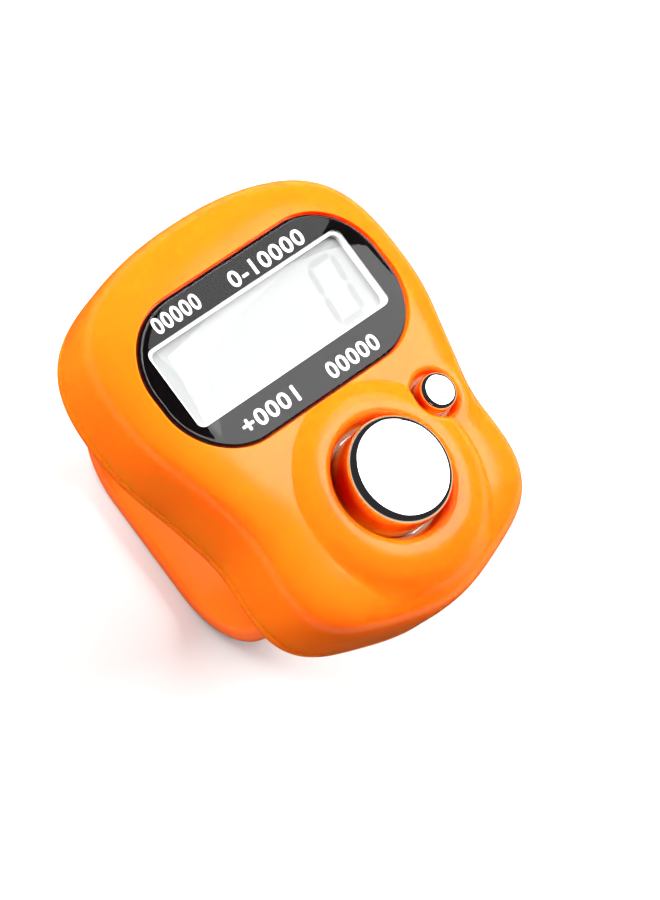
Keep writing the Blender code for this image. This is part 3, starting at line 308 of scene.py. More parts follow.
def travel(path):
    """Distance from a path's start to each of its points."""
    return np.concatenate([[0], np.cumsum(np.linalg.norm(np.diff(path, axis=0), axis=1))])


def along_path(path, distances):
    """The places at distances along a path."""
    travelled = travel(path)
    return np.stack([np.interp(distances, travelled, path[:, axis]) for axis in (0, 1)], axis=-1)


def arc(centre, radius, start, end, steps):
    """Points of an arc from one angle in degrees to another."""
    angles = np.radians(np.linspace(start, end, steps + 1))
    return np.column_stack([centre[0] + radius * np.cos(angles), centre[1] + radius * np.sin(angles)])


def welded(name, patches, shaded=True):
    """One closed mesh of all patches, joined where they meet, facing out, shaded by the patches' normals."""
    points = np.concatenate([patch[0] for patch in patches])
    normals = np.concatenate([patch[1] for patch in patches])
    starts = np.cumsum([0] + [len(patch[0]) for patch in patches])
    faces = np.concatenate([
        np.column_stack([patch[2], patch[2][:, 2]])[:, :4] + start for patch, start in zip(patches, starts)
    ])
    _, first, same = np.unique(np.round(points / MM, 5), axis=0, return_index=True, return_inverse=True)
    corners = same.reshape(-1)[faces]

    # A quad with two equal neighbours is turned until they come last, and is then a triangle
    for _ in range(2):
        repeats = corners == np.roll(corners, -1, axis=1)
        shift = np.where(repeats.any(axis=1), 3 - repeats.argmax(axis=1), 0)
        order = (np.arange(4) - shift[:, None]) % 4
        corners, faces = (np.take_along_axis(each, order, axis=1) for each in (corners, faces))
        closing = corners[:, 3] == corners[:, 0]
        corners[closing, 3], faces[closing, 3] = corners[closing, 2], faces[closing, 2]
    whole = [corners[:, a] != corners[:, b] for a, b in ((0, 1), (1, 2), (0, 2))]
    kept = whole[0] & whole[1] & whole[2]
    corners, faces = corners[kept], faces[kept]
    sides = np.where(corners[:, 3] == corners[:, 2], 3, 4)

    mesh = bpy.data.meshes.new(name)
    mesh.from_pydata(points[first].tolist(), [], [c[:n] for c, n in zip(corners.tolist(), sides.tolist())])
    face_out(mesh)
    if not shaded:
        return mesh
    mesh.shade_smooth()
    loops = np.empty(len(mesh.loops), int)
    mesh.loops.foreach_get("vertex_index", loops)
    owner = np.repeat(np.arange(len(sides)), sides)
    corner = (corners[owner] == loops[:, None]).argmax(axis=1)
    mesh.normals_split_custom_set(normals[faces[owner, corner]].tolist())
    return mesh


def face_out(mesh):
    """Turns the faces of a closed mesh outwards."""
    bm = bmesh.new()
    bm.from_mesh(mesh)
    bmesh.ops.recalc_face_normals(bm, faces=bm.faces)
    bm.to_mesh(mesh)
    bm.free()


def piece(name, patches, slot, body, *nodes):
    return shown(name, welded(name, patches), slot, body, *nodes)


def shown(name, mesh, slot, body, *nodes, look=None):
    """Links a mesh, gives it its finish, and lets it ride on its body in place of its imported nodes."""
    obj = bpy.data.objects.new(name, mesh)
    bpy.context.scene.collection.objects.link(obj)
    mesh.materials.append(MATERIALS[look or slot])
    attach(obj, body)
    if nodes:
        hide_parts(*nodes)
    return obj


# Materials

MATERIALS = {}


def add(tree, kind, settings, links=None):
    """Adds a node, sets its properties and sockets by name, and links outputs into its inputs."""
    node = tree.nodes.new("ShaderNode" + kind)
    for name, value in settings.items():
        if name in node.inputs:
            node.inputs[name].default_value = value
        else:
            setattr(node, name, value)
    for name, output in (links or {}).items():
        tree.links.new(output, node.inputs[name])
    return node


def new_material(name):
    material = bpy.data.materials.new(name)
    material.use_nodes = True
    tree = material.node_tree
    tree.nodes.clear()
    return material, tree, add(tree, "OutputMaterial", {}), add(tree, "TexCoord", {}).outputs["Object"]


def patterned(made, pattern, shader, tones, stops, bump, roughness=None):
    """Ends a material: its pattern colours a Principled surface, lifts it, and varies its roughness."""
    material, tree, output, _ = made
    tint = add(tree, "ValToRGB", {}, {"Fac": pattern})
    for stop, share, tone in zip(tint.color_ramp.elements, stops, tones):
        stop.position, stop.color = share, (*tone, 1)
    links = {"Base Color": tint.outputs["Color"]}
    if roughness:
        low, high = roughness
        gloss = add(tree, "MapRange", {"To Min": low, "To Max": high}, {"Value": pattern})
        links["Roughness"] = gloss.outputs["Result"]
    relief = add(tree, "Bump", {"Strength": 1.0, "Distance": bump}, {"Height": pattern})
    links["Normal"] = relief.outputs["Normal"]
    principled = add(tree, "BsdfPrincipled", shader, links)
    tree.links.new(principled.outputs["BSDF"], output.inputs["Surface"])
    return material


def surface(name, shader, tones, grain, roughness, bump, stretch=(1, 1, 1)):
    """A Principled surface under noise: its grain size and the height that it lifts are in millimetres."""
    made = new_material(name)
    _, tree, _, place = made
    placed = add(tree, "Mapping", {"Scale": stretch}, {"Vector": place}).outputs["Vector"]
    noise = add(tree, "TexNoise", {"Scale": 1 / (grain * MM), "Detail": 3.0}, {"Vector": placed})
    return patterned(made, noise.outputs["Fac"], shader, tones, (0.35, 0.65), bump * MM, roughness)


def darker(tone, share):
    return tuple(channel * share for channel in tone)


# A slot's name, then a material's name, shader, two tones, grain, roughness and bump

PLAIN_LOOKS = (
    # Screen-printed black ink on film: deep and even, with a slight tooth
    ("black_print", "screen_printed_black_ink", {"Specular IOR Level": 0.0}, ("#060405", "#090607"),
     0.3, (0.4, 0.5), 0.001),
    # White ink over the black: opaque, chalky
    ("white_print", "screen_printed_white_ink", {"IOR": 1.5}, ("#F2F2F2", "#FFFFFF"), 0.2, (0.5, 0.6), 0.001),
    # White ABS frame: moulded satin, slightly warm
    ("white_plastic", "satin_white_abs", {"IOR": 1.54}, ("#F4F3EE", "#FBFBF8"), 1.2, (0.35, 0.42), 0.003),
    # Display polariser over its reflector: neutral grey with the reflector's fine grain
    ("display_glass", "pale_display_polariser", {"Specular IOR Level": 0.1}, ("#9A9999", "#9B9A9A"),
     1.0, (0.4, 0.45), 0.0001),
    # Liquid crystal, faintly dark where it is switched: flat grey
    ("display_ink", "switched_liquid_crystal", {"Specular IOR Level": 0.1}, ("#8B8A8B", "#8C8B8C"),
     1.0, (0.4, 0.5), 0.0001),
    # Aluminised film: silvery and slightly rough, with rolling lines along X
    ("silver_film", "aluminised_film", {"Metallic": 0.85}, ("#BDBEBC", "#D2D3D0"),
     0.15, (0.28, 0.4), 0.001, (0.1, 1, 1)),
    # Chromed ABS: mirror-bright, with a trace of the moulding's waviness under the plating
    ("chromed_plastic", "chromed_abs", {"Metallic": 1.0}, ("#F3F3F5", "#FAFAFC"), 1.5, (0.03, 0.06), 0.0006),
    # Epoxy poured over the chip: black, smooth, slightly uneven
    ("black_epoxy", "poured_black_epoxy", {"IOR": 1.55}, ("#0C0C0D", "#141415"), 0.8, (0.2, 0.32), 0.02),
    # Sintered ceramic: matt tan with a fine speckle
    ("tan_ceramic", "sintered_ceramic", {"IOR": 1.7}, ("#A98A66", "#C4A57E"), 0.1, (0.5, 0.62), 0.004),
    # Silicone springs: grey, dull, dusted with talc
    ("grey_rubber", "dusted_silicone_rubber", {"IOR": 1.42}, ("#8D8E90", "#A3A4A6"), 0.3, (0.6, 0.75), 0.004),
    # Nickel-plated steel: bright with fine drawing marks
    ("plated_steel", "nickel_plated_steel", {"Metallic": 1.0}, ("#C2C0BA", "#D5D3CE"),
     0.2, (0.2, 0.32), 0.002, (1, 0.15, 1)),
)


def make_materials(looks):
    """Every finish of the counter, by the name of its slot in the record."""
    orange, strap = tuple(looks.case_colour), tuple(looks.strap_colour)
    # Polished moulded ABS: even and glossy, and lit through where it is thin, so that its shadows glow red
    lit_through = {
        "IOR": 1.5, "Subsurface Weight": 1.0, "Subsurface Radius": (1.0, 0.2, 0.03),
        "Subsurface Scale": 2.8 * MM,
    }
    MATERIALS["moulded_orange"] = surface(
        "glossy_moulded_abs", lit_through, (darker(orange, 0.98), orange), 2.5, (0.18, 0.22), 0.004)
    # Soft moulded elastomer: satin, with a fine spark-eroded grain drawn a little coarse so that it shows
    MATERIALS["soft_orange"] = surface(
        "satin_moulded_elastomer", {"IOR": 1.5, "Specular IOR Level": 0.4}, (darker(strap, 0.92), strap),
        0.25, (0.42, 0.55), 0.012)
    for slot, name, shader, codes, *rest in PLAIN_LOOKS:
        MATERIALS[slot] = surface(name, shader, [linear(code) for code in codes], *rest)
    # Glass-fibre board under green lacquer: the weave shows as a faint grid
    MATERIALS["board_green"] = woven_board("lacquered_glass_fibre_board")
    # Connector of thin conducting layers: black stripes every 0.18 mm, drawn at 0.3 mm so that they show
    MATERIALS["striped_rubber"] = striped_rubber("layered_connector_rubber", 0.3 * MM)
    # Polished acrylic: light passes straight through, and the face mirrors a little
    MATERIALS["clear_acrylic"] = clear_acrylic("clear_polished_acrylic")


def clear_acrylic(name):
    """Only the face that light enters by mirrors, by Fresnel's share."""
    material, tree, output, place = new_material(name)
    wave = add(tree, "TexNoise", {"Scale": 1 / (4 * MM), "Detail": 1.0}, {"Vector": place})
    relief = add(tree, "Bump", {"Strength": 1.0, "Distance": 0.002 * MM}, {"Height": wave.outputs["Fac"]})
    clear = add(tree, "BsdfTransparent", {"Color": (*linear("#F7F8F8"), 1)})
    gloss = add(tree, "BsdfGlossy", {"Color": (1, 1, 1, 1), "Roughness": 0.03},
                {"Normal": relief.outputs["Normal"]})
    front = add(tree, "Math", {"operation": "SUBTRACT"})
    front.inputs[0].default_value = 1
    tree.links.new(add(tree, "NewGeometry", {}).outputs["Backfacing"], front.inputs[1])
    share = add(tree, "Math", {"operation": "MULTIPLY"})
    tree.links.new(add(tree, "Fresnel", {"IOR": 1.49}).outputs["Fac"], share.inputs[0])
    tree.links.new(front.outputs["Value"], share.inputs[1])
    both = add(tree, "MixShader", {}, {"Fac": share.outputs["Value"]})
    tree.links.new(clear.outputs["BSDF"], both.inputs[1])
    tree.links.new(gloss.outputs["BSDF"], both.inputs[2])
    tree.links.new(both.outputs["Shader"], output.inputs["Surface"])
    return material


WAVE_SHARE = 0.314  # a wave texture of this scale over a pitch in metres repeats at that pitch


def woven_board(name):
    """Two crossed waves 0.5 mm apart lift and lighten the lacquer where the glass threads cross."""
    made = new_material(name)
    _, tree, _, place = made
    waves = [
        add(tree, "TexWave", {"Scale": WAVE_SHARE / (0.5 * MM), "bands_direction": axis}, {"Vector": place})
        for axis in "XY"
    ]
    weave = add(tree, "Math", {"operation": "MULTIPLY"})
    for index, wave in enumerate(waves):
        tree.links.new(wave.outputs["Fac"], weave.inputs[index])
    return patterned(made, weave.outputs["Value"], {"Roughness": 0.32, "IOR": 1.5},
                     (linear("#12532C"), linear("#1D6B3C")), (0, 1), 0.006 * MM)


def striped_rubber(name, pitch):
    """Dark and light layers across X."""
    made = new_material(name)
    _, tree, _, place = made
    wave = add(tree, "TexWave", {"Scale": WAVE_SHARE / pitch, "bands_direction": "X"}, {"Vector": place})
    return patterned(made, wave.outputs["Fac"], {"Roughness": 0.6}, (linear("#1A1A1C"), linear("#B9BABC")),
                     (0.45, 0.55), 0.004 * MM)


# Sizes and colours that a user would change

class CounterCase(bpy.types.PropertyGroup):
    skirt_height: length("Skirt height", "Height of the cover's upright side above the seam", 3.05 * MM)
    crown_rise: length("Crown rise", "Height of the crown above the skirt", 5.7 * MM)
    crown_power: number("Crown fullness", "Power of the crown's curve: more is flatter", 4.3, 2, 8)
    waist_power: number("Waist fullness", "What the waist adds to the crown's power", 2.4, 0, 5)
    draft: length("Draft", "How far the skirt leans in at the seam", 0.15 * MM)
    wall: length("Wall", "Thickness of the side wall", 1.4 * MM)
    ceiling: length("Ceiling", "Thickness of the crown", 2.1 * MM)
    edge: length("Edge radius", "Small rounding of the moulded edges", 0.12 * MM)
    crease: length("Crease rounding", "Height over which a mound blends into the crown", 0.28 * MM)
    blend: number("Side blend", "How much wider the crease grows as the crown falls away", 1.8, 0, 3)
    fit: length("Clearance", "Gap between fitted pieces", 0.12 * MM)


class CounterDisplay(bpy.types.PropertyGroup):
    lens_corner: length("Lens corner", "Corner radius of the lens", 6.4 * MM)
    lens_sink: length("Lens sink", "How far the lens lies under the crown's surface", 0.08 * MM)
    lens_edge: length("Lens edge", "Rounding of the lens's rim", 0.3 * MM)
    window_width: length("Window width", "Clear window in the printed film", 22.6 * MM)
    window_height: length("Window height", "Clear window in the printed film", 7.9 * MM)
    window_corner: length("Window corner", "Corner radius of the window", 0.7 * MM)
    window_y: length("Window place", "Middle of the window along Y", 7.8 * MM)
    digit_height: length("Digit height", "Height of the display's digit", 5.6 * MM)
    mark_height: length("Mark height", "Height of the printed figures", 1.5 * MM)
    film: length("Film thickness", "Thickness of the printed film", 0.06 * MM)


class CounterKeys(bpy.types.PropertyGroup):
    count_radius: length("Count key radius", "Radius of the large key's cap", 4.8 * MM)
    count_edge: length("Count key edge", "Rounding of the large key's rim", 0.7 * MM)
    count_well: length("Count well radius", "Radius of the well round the large key", 5.4 * MM)
    count_floor: length("Count well depth", "Depth of the well under the display's level", 0.3 * MM)
    count_rim: length("Count rim radius", "Radius of the mound's highest ring", 6.2 * MM)
    count_rise: length("Count rim rise", "Height of the ring above the display's level", 1.7 * MM)
    count_mound: length("Count mound width", "Width of the mound outside its ring", 3.1 * MM)
    count_depth: length("Count mound depth", "Depth of the mound's rounding", 2.05 * MM)
    reset_radius: length("Reset key radius", "Radius of the small key's cap", 1.7 * MM)
    reset_edge: length("Reset key edge", "Rounding of the small key's rim", 0.45 * MM)
    reset_well: length("Reset well radius", "Radius of the well round the small key", 2.2 * MM)
    reset_floor: length("Reset well depth", "Depth of the small well under the display's level", 0.2 * MM)
    reset_rim: length("Reset rim radius", "Radius of the small mound's ring", 2.7 * MM)
    reset_rise: length("Reset rim rise", "Height of the small ring above the display's level", 0.55 * MM)
    reset_mound: length("Reset mound width", "Width of the small mound outside its ring", 1.2 * MM)
    reset_depth: length("Reset mound depth", "Depth of the small mound's rounding", 0.7 * MM)
    spring_wall: length("Spring wall", "Thickness of the rubber springs", 0.3 * MM)


class CounterBase(bpy.types.PropertyGroup):
    round_reach: length("Lower edge reach", "How far the rolled lower edge reaches in", 4.2 * MM)
    round_height: length("Lower edge height", "How far the rolled lower edge reaches up", 3.2 * MM)
    saddle_radius: length("Saddle radius", "Radius of the hollow that lies on the finger", 24.0 * MM)
    saddle_depth: length("Saddle depth", "Depth of that hollow in the underside", 1.4 * MM)
    saddle_edge: length("Saddle edge", "Height over which the saddle's edge is rounded", 0.5 * MM)
    floor: length("Floor", "Thickness of the underside", 1.1 * MM)
    seam: length("Seam gap", "Gap between the base and the cover", 0.1 * MM)
    lip_wall: length("Lip wall", "Thickness of the locating lip", 0.8 * MM)
    lip_height: length("Lip height", "Height of the locating lip over the seam", 1.0 * MM)
    post_radius: length("Post radius", "Radius of the case screws' posts", 1.75 * MM)
    screw_well: length("Screw well radius", "Radius of the wells for the case screws' heads", 1.37 * MM)
    screw_way: length("Screw hole radius", "Radius of the holes for the case screws' shanks", 0.82 * MM)
    cell_wall: length("Cell wall", "Thickness of the wall round the coin cell", 0.9 * MM)
    socket_wall: length("Socket wall", "Thickness of the blocks round the strap's beads", 0.9 * MM)
    clasp_swing: angle("Clasp swing", "Swing that the clasp's mouth leaves room for", 45)
    door_turn: angle("Door turn", "Turn of the battery door to its notches", 60)


class CounterStrap(bpy.types.PropertyGroup):
    width: length("Width", "Width of the strap", 12.0 * MM)
    thickness: length("Thickness", "Thickness of the strap", 1.4 * MM)
    edge: length("Edge radius", "Rounding of the strap's edges", 0.4 * MM)
    bend: length("Bend radius", "Bend of the strap's middle line under the finger", 7.0 * MM)
    bead: length("Bead radius", "Radius of the bead at the strap's root", 1.1 * MM)
    hole: length("Hole radius", "Radius of the strap's holes", 1.05 * MM)
    pitch: length("Hole pitch", "Distance between holes", 3.5 * MM)
    first_peg: length("First peg", "Distance of the first peg below the clasp's bead", 5.0 * MM)


class CounterLooks(bpy.types.PropertyGroup):
    case_colour: colour("Case colour", "Moulded colour of the case", "#F3690D")
    strap_colour: colour("Strap colour", "Moulded colour of the strap", "#E9600F")
    floor_colour: colour("Floor colour", "Colour of the studio floor", "#BFBFBF")


SETTINGS = {
    "counter_case": CounterCase, "counter_display": CounterDisplay, "counter_keys": CounterKeys,
    "counter_base": CounterBase, "counter_strap": CounterStrap, "counter_looks": CounterLooks,
}


# Cover

SPLIT_SHARE = 0.97  # share of the outline's reach from which the crown's steep border is its own patch
KEY_ROOM = 0.06 * MM  # between a key's cap and its hole
FRAME_CORNER = 1.42 * MM  # of the hole for the display's frame


class CoverShape:
    """Heights of the cover: the crown with a round mound about each key."""

    def __init__(self, scene):
        case, keys, display = scene.counter_case, scene.counter_keys, scene.counter_display
        self.case, self.keys, self.display = case, keys, display
        self.seam = level("top_shell", top=False)
        self.belt = self.seam + case.skirt_height
        self.face = level("mask_film")
        self.count, self.reset = middle("count_key"), middle("reset_key")
        self.lens_size = np.array([span("mask_film", 0), span("mask_film", 1)])
        self.lens_centre = middle("mask_film")
        self.recess_size = self.lens_size + 2 * case.fit
        self.recess_corner = display.lens_corner + case.fit
        self.frame_size = (span("display_frame", 0) + 2 * case.fit, span("display_frame", 1) + 2 * case.fit)

    def crown(self, flat, inset=0.0, thinner=0.0):
        """A superellipse over the share of the outline's reach, so that it leaves the skirt upright."""
        x, y = flat[..., 0], flat[..., 1]
        share = np.minimum(np.hypot(x, y) / (reach(x, y) - inset), 1)
        power = self.fullness(flat)
        return self.belt + (self.case.crown_rise - thinner) * (1 - share**power) ** (1 / power)

    def fullness(self, flat):
        """Power of the crown's curve, which is highest at the waist."""
        bearing = np.abs(np.arctan2(flat[..., 0], flat[..., 1]))
        place, width = math.radians(95), math.radians(24)
        return self.case.crown_power + self.case.waist_power * np.exp(-((bearing - place) / width) ** 2)

    def mound(self, flat, centre, rim, rise, width, depth):
        """Flat inside its ring, a quarter ellipse for nine tenths of its width, and a steepening cone."""
        out = np.maximum(np.linalg.norm(flat - centre, axis=-1) - rim, 0)
        round_share, steepening = 0.9, 2.5 * MM
        near = np.minimum(out, round_share * width)
        fall = depth * (1 - np.sqrt(1 - (near / width) ** 2))
        slope = depth / width * round_share / math.sqrt(1 - round_share**2)
        beyond = out - near
        return self.face + rise - fall - slope * beyond - beyond**2 / steepening

    def top(self, flat):
        """The higher of crown and mounds, joined by a fillet that widens where the crown has fallen away.

        The mounds fade out towards the crown's border.
        """
        keys, case = self.keys, self.case
        first_fall, most_fall, fade_share, small_blend = 0.2 * MM, 1.1 * MM, 0.07, 0.5
        crown = self.crown(flat)
        fallen = np.clip(self.belt + case.crown_rise - crown - first_fall, 0, most_fall)
        share = np.linalg.norm(flat, axis=-1) / reach(flat[..., 0], flat[..., 1])
        fade = np.clip((SPLIT_SHARE - share) / fade_share, 0, 1)
        height = crown
        for centre, rim, rise, width, depth, blend in (
            (self.count, keys.count_rim, keys.count_rise, keys.count_mound, keys.count_depth, case.blend),
            (self.reset, keys.reset_rim, keys.reset_rise, keys.reset_mound, keys.reset_depth, small_blend),
        ):
            mound = self.mound(flat, centre, rim, rise, width, depth)
            height = smooth_max(height, mound, case.crease + blend * fallen)
        return crown + (height - crown) * fade**2 * (3 - 2 * fade)

    def ceiling(self, flat):
        return self.crown(flat, self.case.wall, self.case.ceiling)

    def lens_top(self, flat):
        """Just under the crown, and rounded down at the lens's rim."""
        edge = self.display.lens_edge
        depth = -box_distance(flat, *self.lens_size, self.display.lens_corner, self.lens_centre)
        short = edge - np.clip(depth, 0, edge)
        drop = edge - np.sqrt(np.maximum(edge**2 - short**2, 0))
        return self.crown(flat) - self.display.lens_sink - drop

    def lens_bottom(self, flat):
        """Flat over the display, and parallel to the crown where that comes down to it."""
        above, thinnest = 0.05 * MM, 0.35 * MM
        return np.minimum(self.face + above, self.crown(flat) - self.display.lens_sink - thinnest)

    def film_top(self, flat):
        gap = 0.02 * MM
        return self.lens_bottom(flat) - gap

    def recess(self, flat):
        """Floor of the recess that the lens and film lie in."""
        deep, under_film = 0.2 * MM, 0.12 * MM
        return np.minimum(self.face - deep, self.film_top(flat) - under_film)


def crown_strip(shape, curve, inset=0.0, thinner=0.0, facing=1):
    """The crown's steep border from the belt up, as a grid, down to the split share."""
    case = shape.case
    power = shape.fullness(curve)
    bend = np.arccos(SPLIT_SHARE ** (power / 2)) * np.linspace(0, 1, 15)[:, None] ** 2
    share = np.cos(bend) ** (2 / power)
    share[-1] = SPLIT_SHARE
    rise = case.crown_rise - thinner
    points = at(curve * share[..., None], shape.belt + rise * (1 - share**power) ** (1 / power))
    lifted = (points[..., 2] - shape.belt) / rise

    def implicit(flat):
        """The superellipse's sum, which is 1 on the surface and grows outwards."""
        share = np.linalg.norm(flat, axis=-1) / (reach(flat[..., 0], flat[..., 1]) - inset)
        power = shape.fullness(flat)
        return share**power + lifted**power

    normals = np.stack([*gradient(implicit, points[..., :2]), power * lifted ** (power - 1) / rise], axis=-1)
    return grid(points, facing * unit(normals))


def field_points(curve, holes, rings):
    """Points between the crown's border and its holes: the outline's shrunken copies, and rings of points.

    Each hole is a distance function and its keep-out. Each of the rings is points, a distance function and
    its keep-out for all that come later. Both keep the triangles even.
    """
    first_step, growth, longest_step, last_share = 0.008, 0.16, 0.022, 0.03
    typical_reach, finest_step, border_room = 16 * MM, 0.012, 0.006
    shares = [SPLIT_SHARE]
    while shares[-1] > last_share:
        shares.append(shares[-1] - min(first_step + growth * (SPLIT_SHARE - shares[-1]), longest_step))
    length_round = travel(curve)[-1]
    sets = list(rings)
    for share, nearer in zip(shares[1:], shares):
        gap = typical_reach * max(nearer - share, finest_step)
        count = int(min(len(curve), max(6, length_round * share / gap)))
        sets.append((even(curve * share, count), None, 0))
    kept = []
    for index, (points, _, _) in enumerate(sets):
        keep = np.ones(len(points), bool)
        for distance, room in holes:
            keep &= distance(points) > room
        for _, distance, room in sets[:index]:
            if distance is not None:
                keep &= distance(points) > room
        if index < len(rings):
            share = np.linalg.norm(points, axis=1) / reach(points[:, 0], points[:, 1])
            keep &= share < SPLIT_SHARE - border_room
        kept.append(points[keep])
    return np.concatenate(kept)


def ring_set(centre, radii, gap):
    """Rings of points about a centre."""
    return np.concatenate([circle(centre, r, max(24, int(math.tau * r / gap))) for r in radii])


class MakeCover(bpy.types.Operator):
    """Fine cover: skirt, crown, mounds, wells, lens recess and the cavity inside, as one closed shell"""
    bl_idname = "counter.make_cover"
    bl_label = "Make cover"

    def execute(self, context):
        shape = CoverShape(context.scene)
        case, keys = shape.case, shape.keys
        curve = outline()
        inner_curve = curve * (1 - case.wall / np.linalg.norm(curve, axis=1))[:, None]
        patches = self.skirt(shape, curve, inner_curve)
        recess, brim, frame_hole = self.recess(shape)
        patches += recess
        rings, holes = [], []
        for centre, rim, well, floor, radius, count in (
            (shape.count, keys.count_rim, keys.count_well, keys.count_floor, keys.count_radius, 240),
            (shape.reset, keys.reset_rim, keys.reset_well, keys.reset_floor, keys.reset_radius, 120),
        ):
            rings.append(circle(centre, rim, count))
            holes.append(circle(centre, radius + KEY_ROOM, count))
            patches += self.well(shape, centre, rings[-1], rim, well, shape.face - floor, holes[-1])
        inner = self.ceiling_points(shape, inner_curve)
        patches += [
            field(curve * SPLIT_SHARE, [brim, *rings], self.crown_points(shape, curve), shape.top),
            field(inner_curve * SPLIT_SHARE, [frame_hole, *holes], inner, shape.ceiling, facing=-1),
        ]
        piece("cover", patches, "moulded_orange", "case", "top_shell")
        piece("cover_posts", self.posts(shape), "moulded_orange", "case")
        return {"FINISHED"}

    @staticmethod
    def skirt(shape, curve, inner_curve):
        """The side from its lower edge to the belt, the cavity's side, and the crown's two borders."""
        case, seam, belt = shape.case, shape.seam, shape.belt
        draft, wall, edge = case.draft, case.wall, case.edge
        out = outward(curve)
        round_under = arc((-draft - edge, seam + edge), edge, -90, 0, 5)
        side = np.concatenate([round_under, [(-draft / 2, (seam + belt) / 2), (0, belt)]])
        inner_low = at(curve - out * (draft + wall), seam)
        return [
            carried(curve, side), crown_strip(shape, curve),
            between(inner_low, at(curve - out * (draft + edge), seam), DOWN),
            between(inner_low, at(inner_curve, belt), at(-out, 0), 3),
            crown_strip(shape, inner_curve, wall, case.ceiling, facing=-1),
        ]

    @staticmethod
    def recess(shape):
        """The lens's recess and the hole for the display's frame: patches, the brim and the hole's curve."""
        edge = shape.case.edge
        curve = round_box(*shape.recess_size, shape.recess_corner, shape.lens_centre, 300)
        out = outward(curve)
        brim = curve + out * edge
        rolled, wall_top = rolled_in(brim, out, edge, shape.top, 5)
        hole = rays_onto(shape.frame_size, FRAME_CORNER, middle("display_frame"), curve)
        ledge = curve + (hole - curve) * np.linspace(0, 1, 5)[:, None, None]
        return [
            rolled, between(wall_top, at(curve, shape.recess(curve)), at(-out, 0), 3),
            grid(at(ledge, shape.recess(ledge)), UP),
            between(at(hole, shape.recess(hole)), at(hole, shape.ceiling(hole)), at(-outward(hole), 0), 3),
        ], brim, hole

    @staticmethod
    def well(shape, centre, ring, rim, radius, floor, hole):
        """A lip that rolls over into an upright wall, a filleted floor, and the hole for the key."""
        fillet = 0.3 * MM
        out = unit(ring - centre)
        inwards = at(-out, 0)
        lip, wall_top = rolled_in(ring, out, rim - radius, shape.top, 9)
        sine, cosine = quarter(6)
        foot = at(centre + out * (radius - fillet * (1 - cosine)), floor + fillet * (1 - sine[..., 0]))
        return [
            lip, between(wall_top, foot[0], inwards, 4), grid(foot, at(-out * cosine, sine[..., 0])),
            between(foot[-1], at(hole, floor), UP),
            between(at(hole, floor), at(hole, shape.ceiling(hole)), inwards, 3),
        ]

    @staticmethod
    def crown_points(shape, curve):
        """The crown's inner points, closer together round the keys' mounds and the recess."""
        keys, edge = shape.keys, shape.case.edge
        count_rings = ring_set(shape.count, keys.count_rim + np.array(
            [0.06, 0.15, 0.3, 0.5, 0.7, 0.9, 1.1, 1.3, 1.5, *np.arange(1.65, 4.3, 0.12)]) * MM, 0.2 * MM)
        reset_rings = ring_set(shape.reset, keys.reset_rim + np.array(
            [0.04, 0.1, 0.18, 0.28, 0.38, 0.48, 0.56, 0.64, 0.72, 0.8, 0.95, 1.1, 1.3]) * MM, 0.12 * MM)
        lens_rings = np.concatenate([
            round_box(*(shape.recess_size + 2 * (edge + out)), shape.recess_corner + edge + out,
                      shape.lens_centre, 300)
            for out in np.array([0.12, 0.3, 0.55]) * MM
        ])

        def off_ring(centre, radius):
            return lambda points: np.linalg.norm(points - centre, axis=1) - radius

        def off_lens(points):
            return box_distance(points, *shape.recess_size, shape.recess_corner, shape.lens_centre) - edge

        off_count, off_reset = off_ring(shape.count, keys.count_rim), off_ring(shape.reset, keys.reset_rim)
        small = 0.03 * MM
        return field_points(curve, [(off_reset, small), (off_count, small), (off_lens, small)], [
            (reset_rings, off_reset, 1.38 * MM), (lens_rings, off_lens, 0.65 * MM),
            (count_rings, off_count, 4.35 * MM),
        ])

    @staticmethod
    def ceiling_points(shape, inner_curve):
        """The ceiling's inner points, clear of the display's frame and the keys' holes."""
        room, keys = 0.3 * MM, shape.keys
        inside = even(inner_curve, 200)
        spread = np.concatenate([even(inside * s, int(200 * s) + 6) for s in np.arange(0.92, 0.05, -0.05)])
        clear = box_distance(spread, *shape.frame_size, FRAME_CORNER, middle("display_frame")) > room
        for centre, radius in ((shape.count, keys.count_radius), (shape.reset, keys.reset_radius)):
            clear &= np.linalg.norm(spread - centre, axis=1) > radius + KEY_ROOM + room
        return spread[clear]

    @staticmethod
    def posts(shape):
        """Round posts that hang from the ceiling, bored for the screws that come up into them."""
        sunk, over_screw, under_end = 0.6 * MM, 0.2 * MM, 0.3 * MM
        board = level("circuit_board") + 0.05 * MM
        posts = []
        for node, radius, bore, low in (
            *[(f"case_screw_{i}", 1.75 * MM, 0.7 * MM, shape.seam) for i in (1, 2, 3, 4)],
            *[(f"board_screw_{i}", 1.2 * MM, 0.5 * MM, board) for i in (1, 2, 3)],
        ):
            place = middle(node)
            high = float(shape.ceiling(place)) + sunk
            tip = min(level(node) + over_screw, high - under_end)
            outside = [(bore, low), (radius, low), (radius, high), (0, high)]
            inside = [(0, tip), (bore, tip), (bore, low)]
            posts += [turned(place, pair, 40) for line in (outside, inside) for pair in zip(line, line[1:])]
        return posts


def rays_onto(size, corner, centre, curve):
    """The point of a round-cornered rectangle on the ray from its middle to each point of a curve."""
    dense = round_box(*size, corner, centre, 4000) - centre
    angles = np.arctan2(dense[:, 1], dense[:, 0])
    order = np.argsort(angles)
    wanted = np.arctan2(*(curve - centre).T[::-1])
    far = np.interp(wanted, angles[order], np.linalg.norm(dense, axis=1)[order], period=math.tau)
    return centre + unit(curve - centre) * far[:, None]


# Display

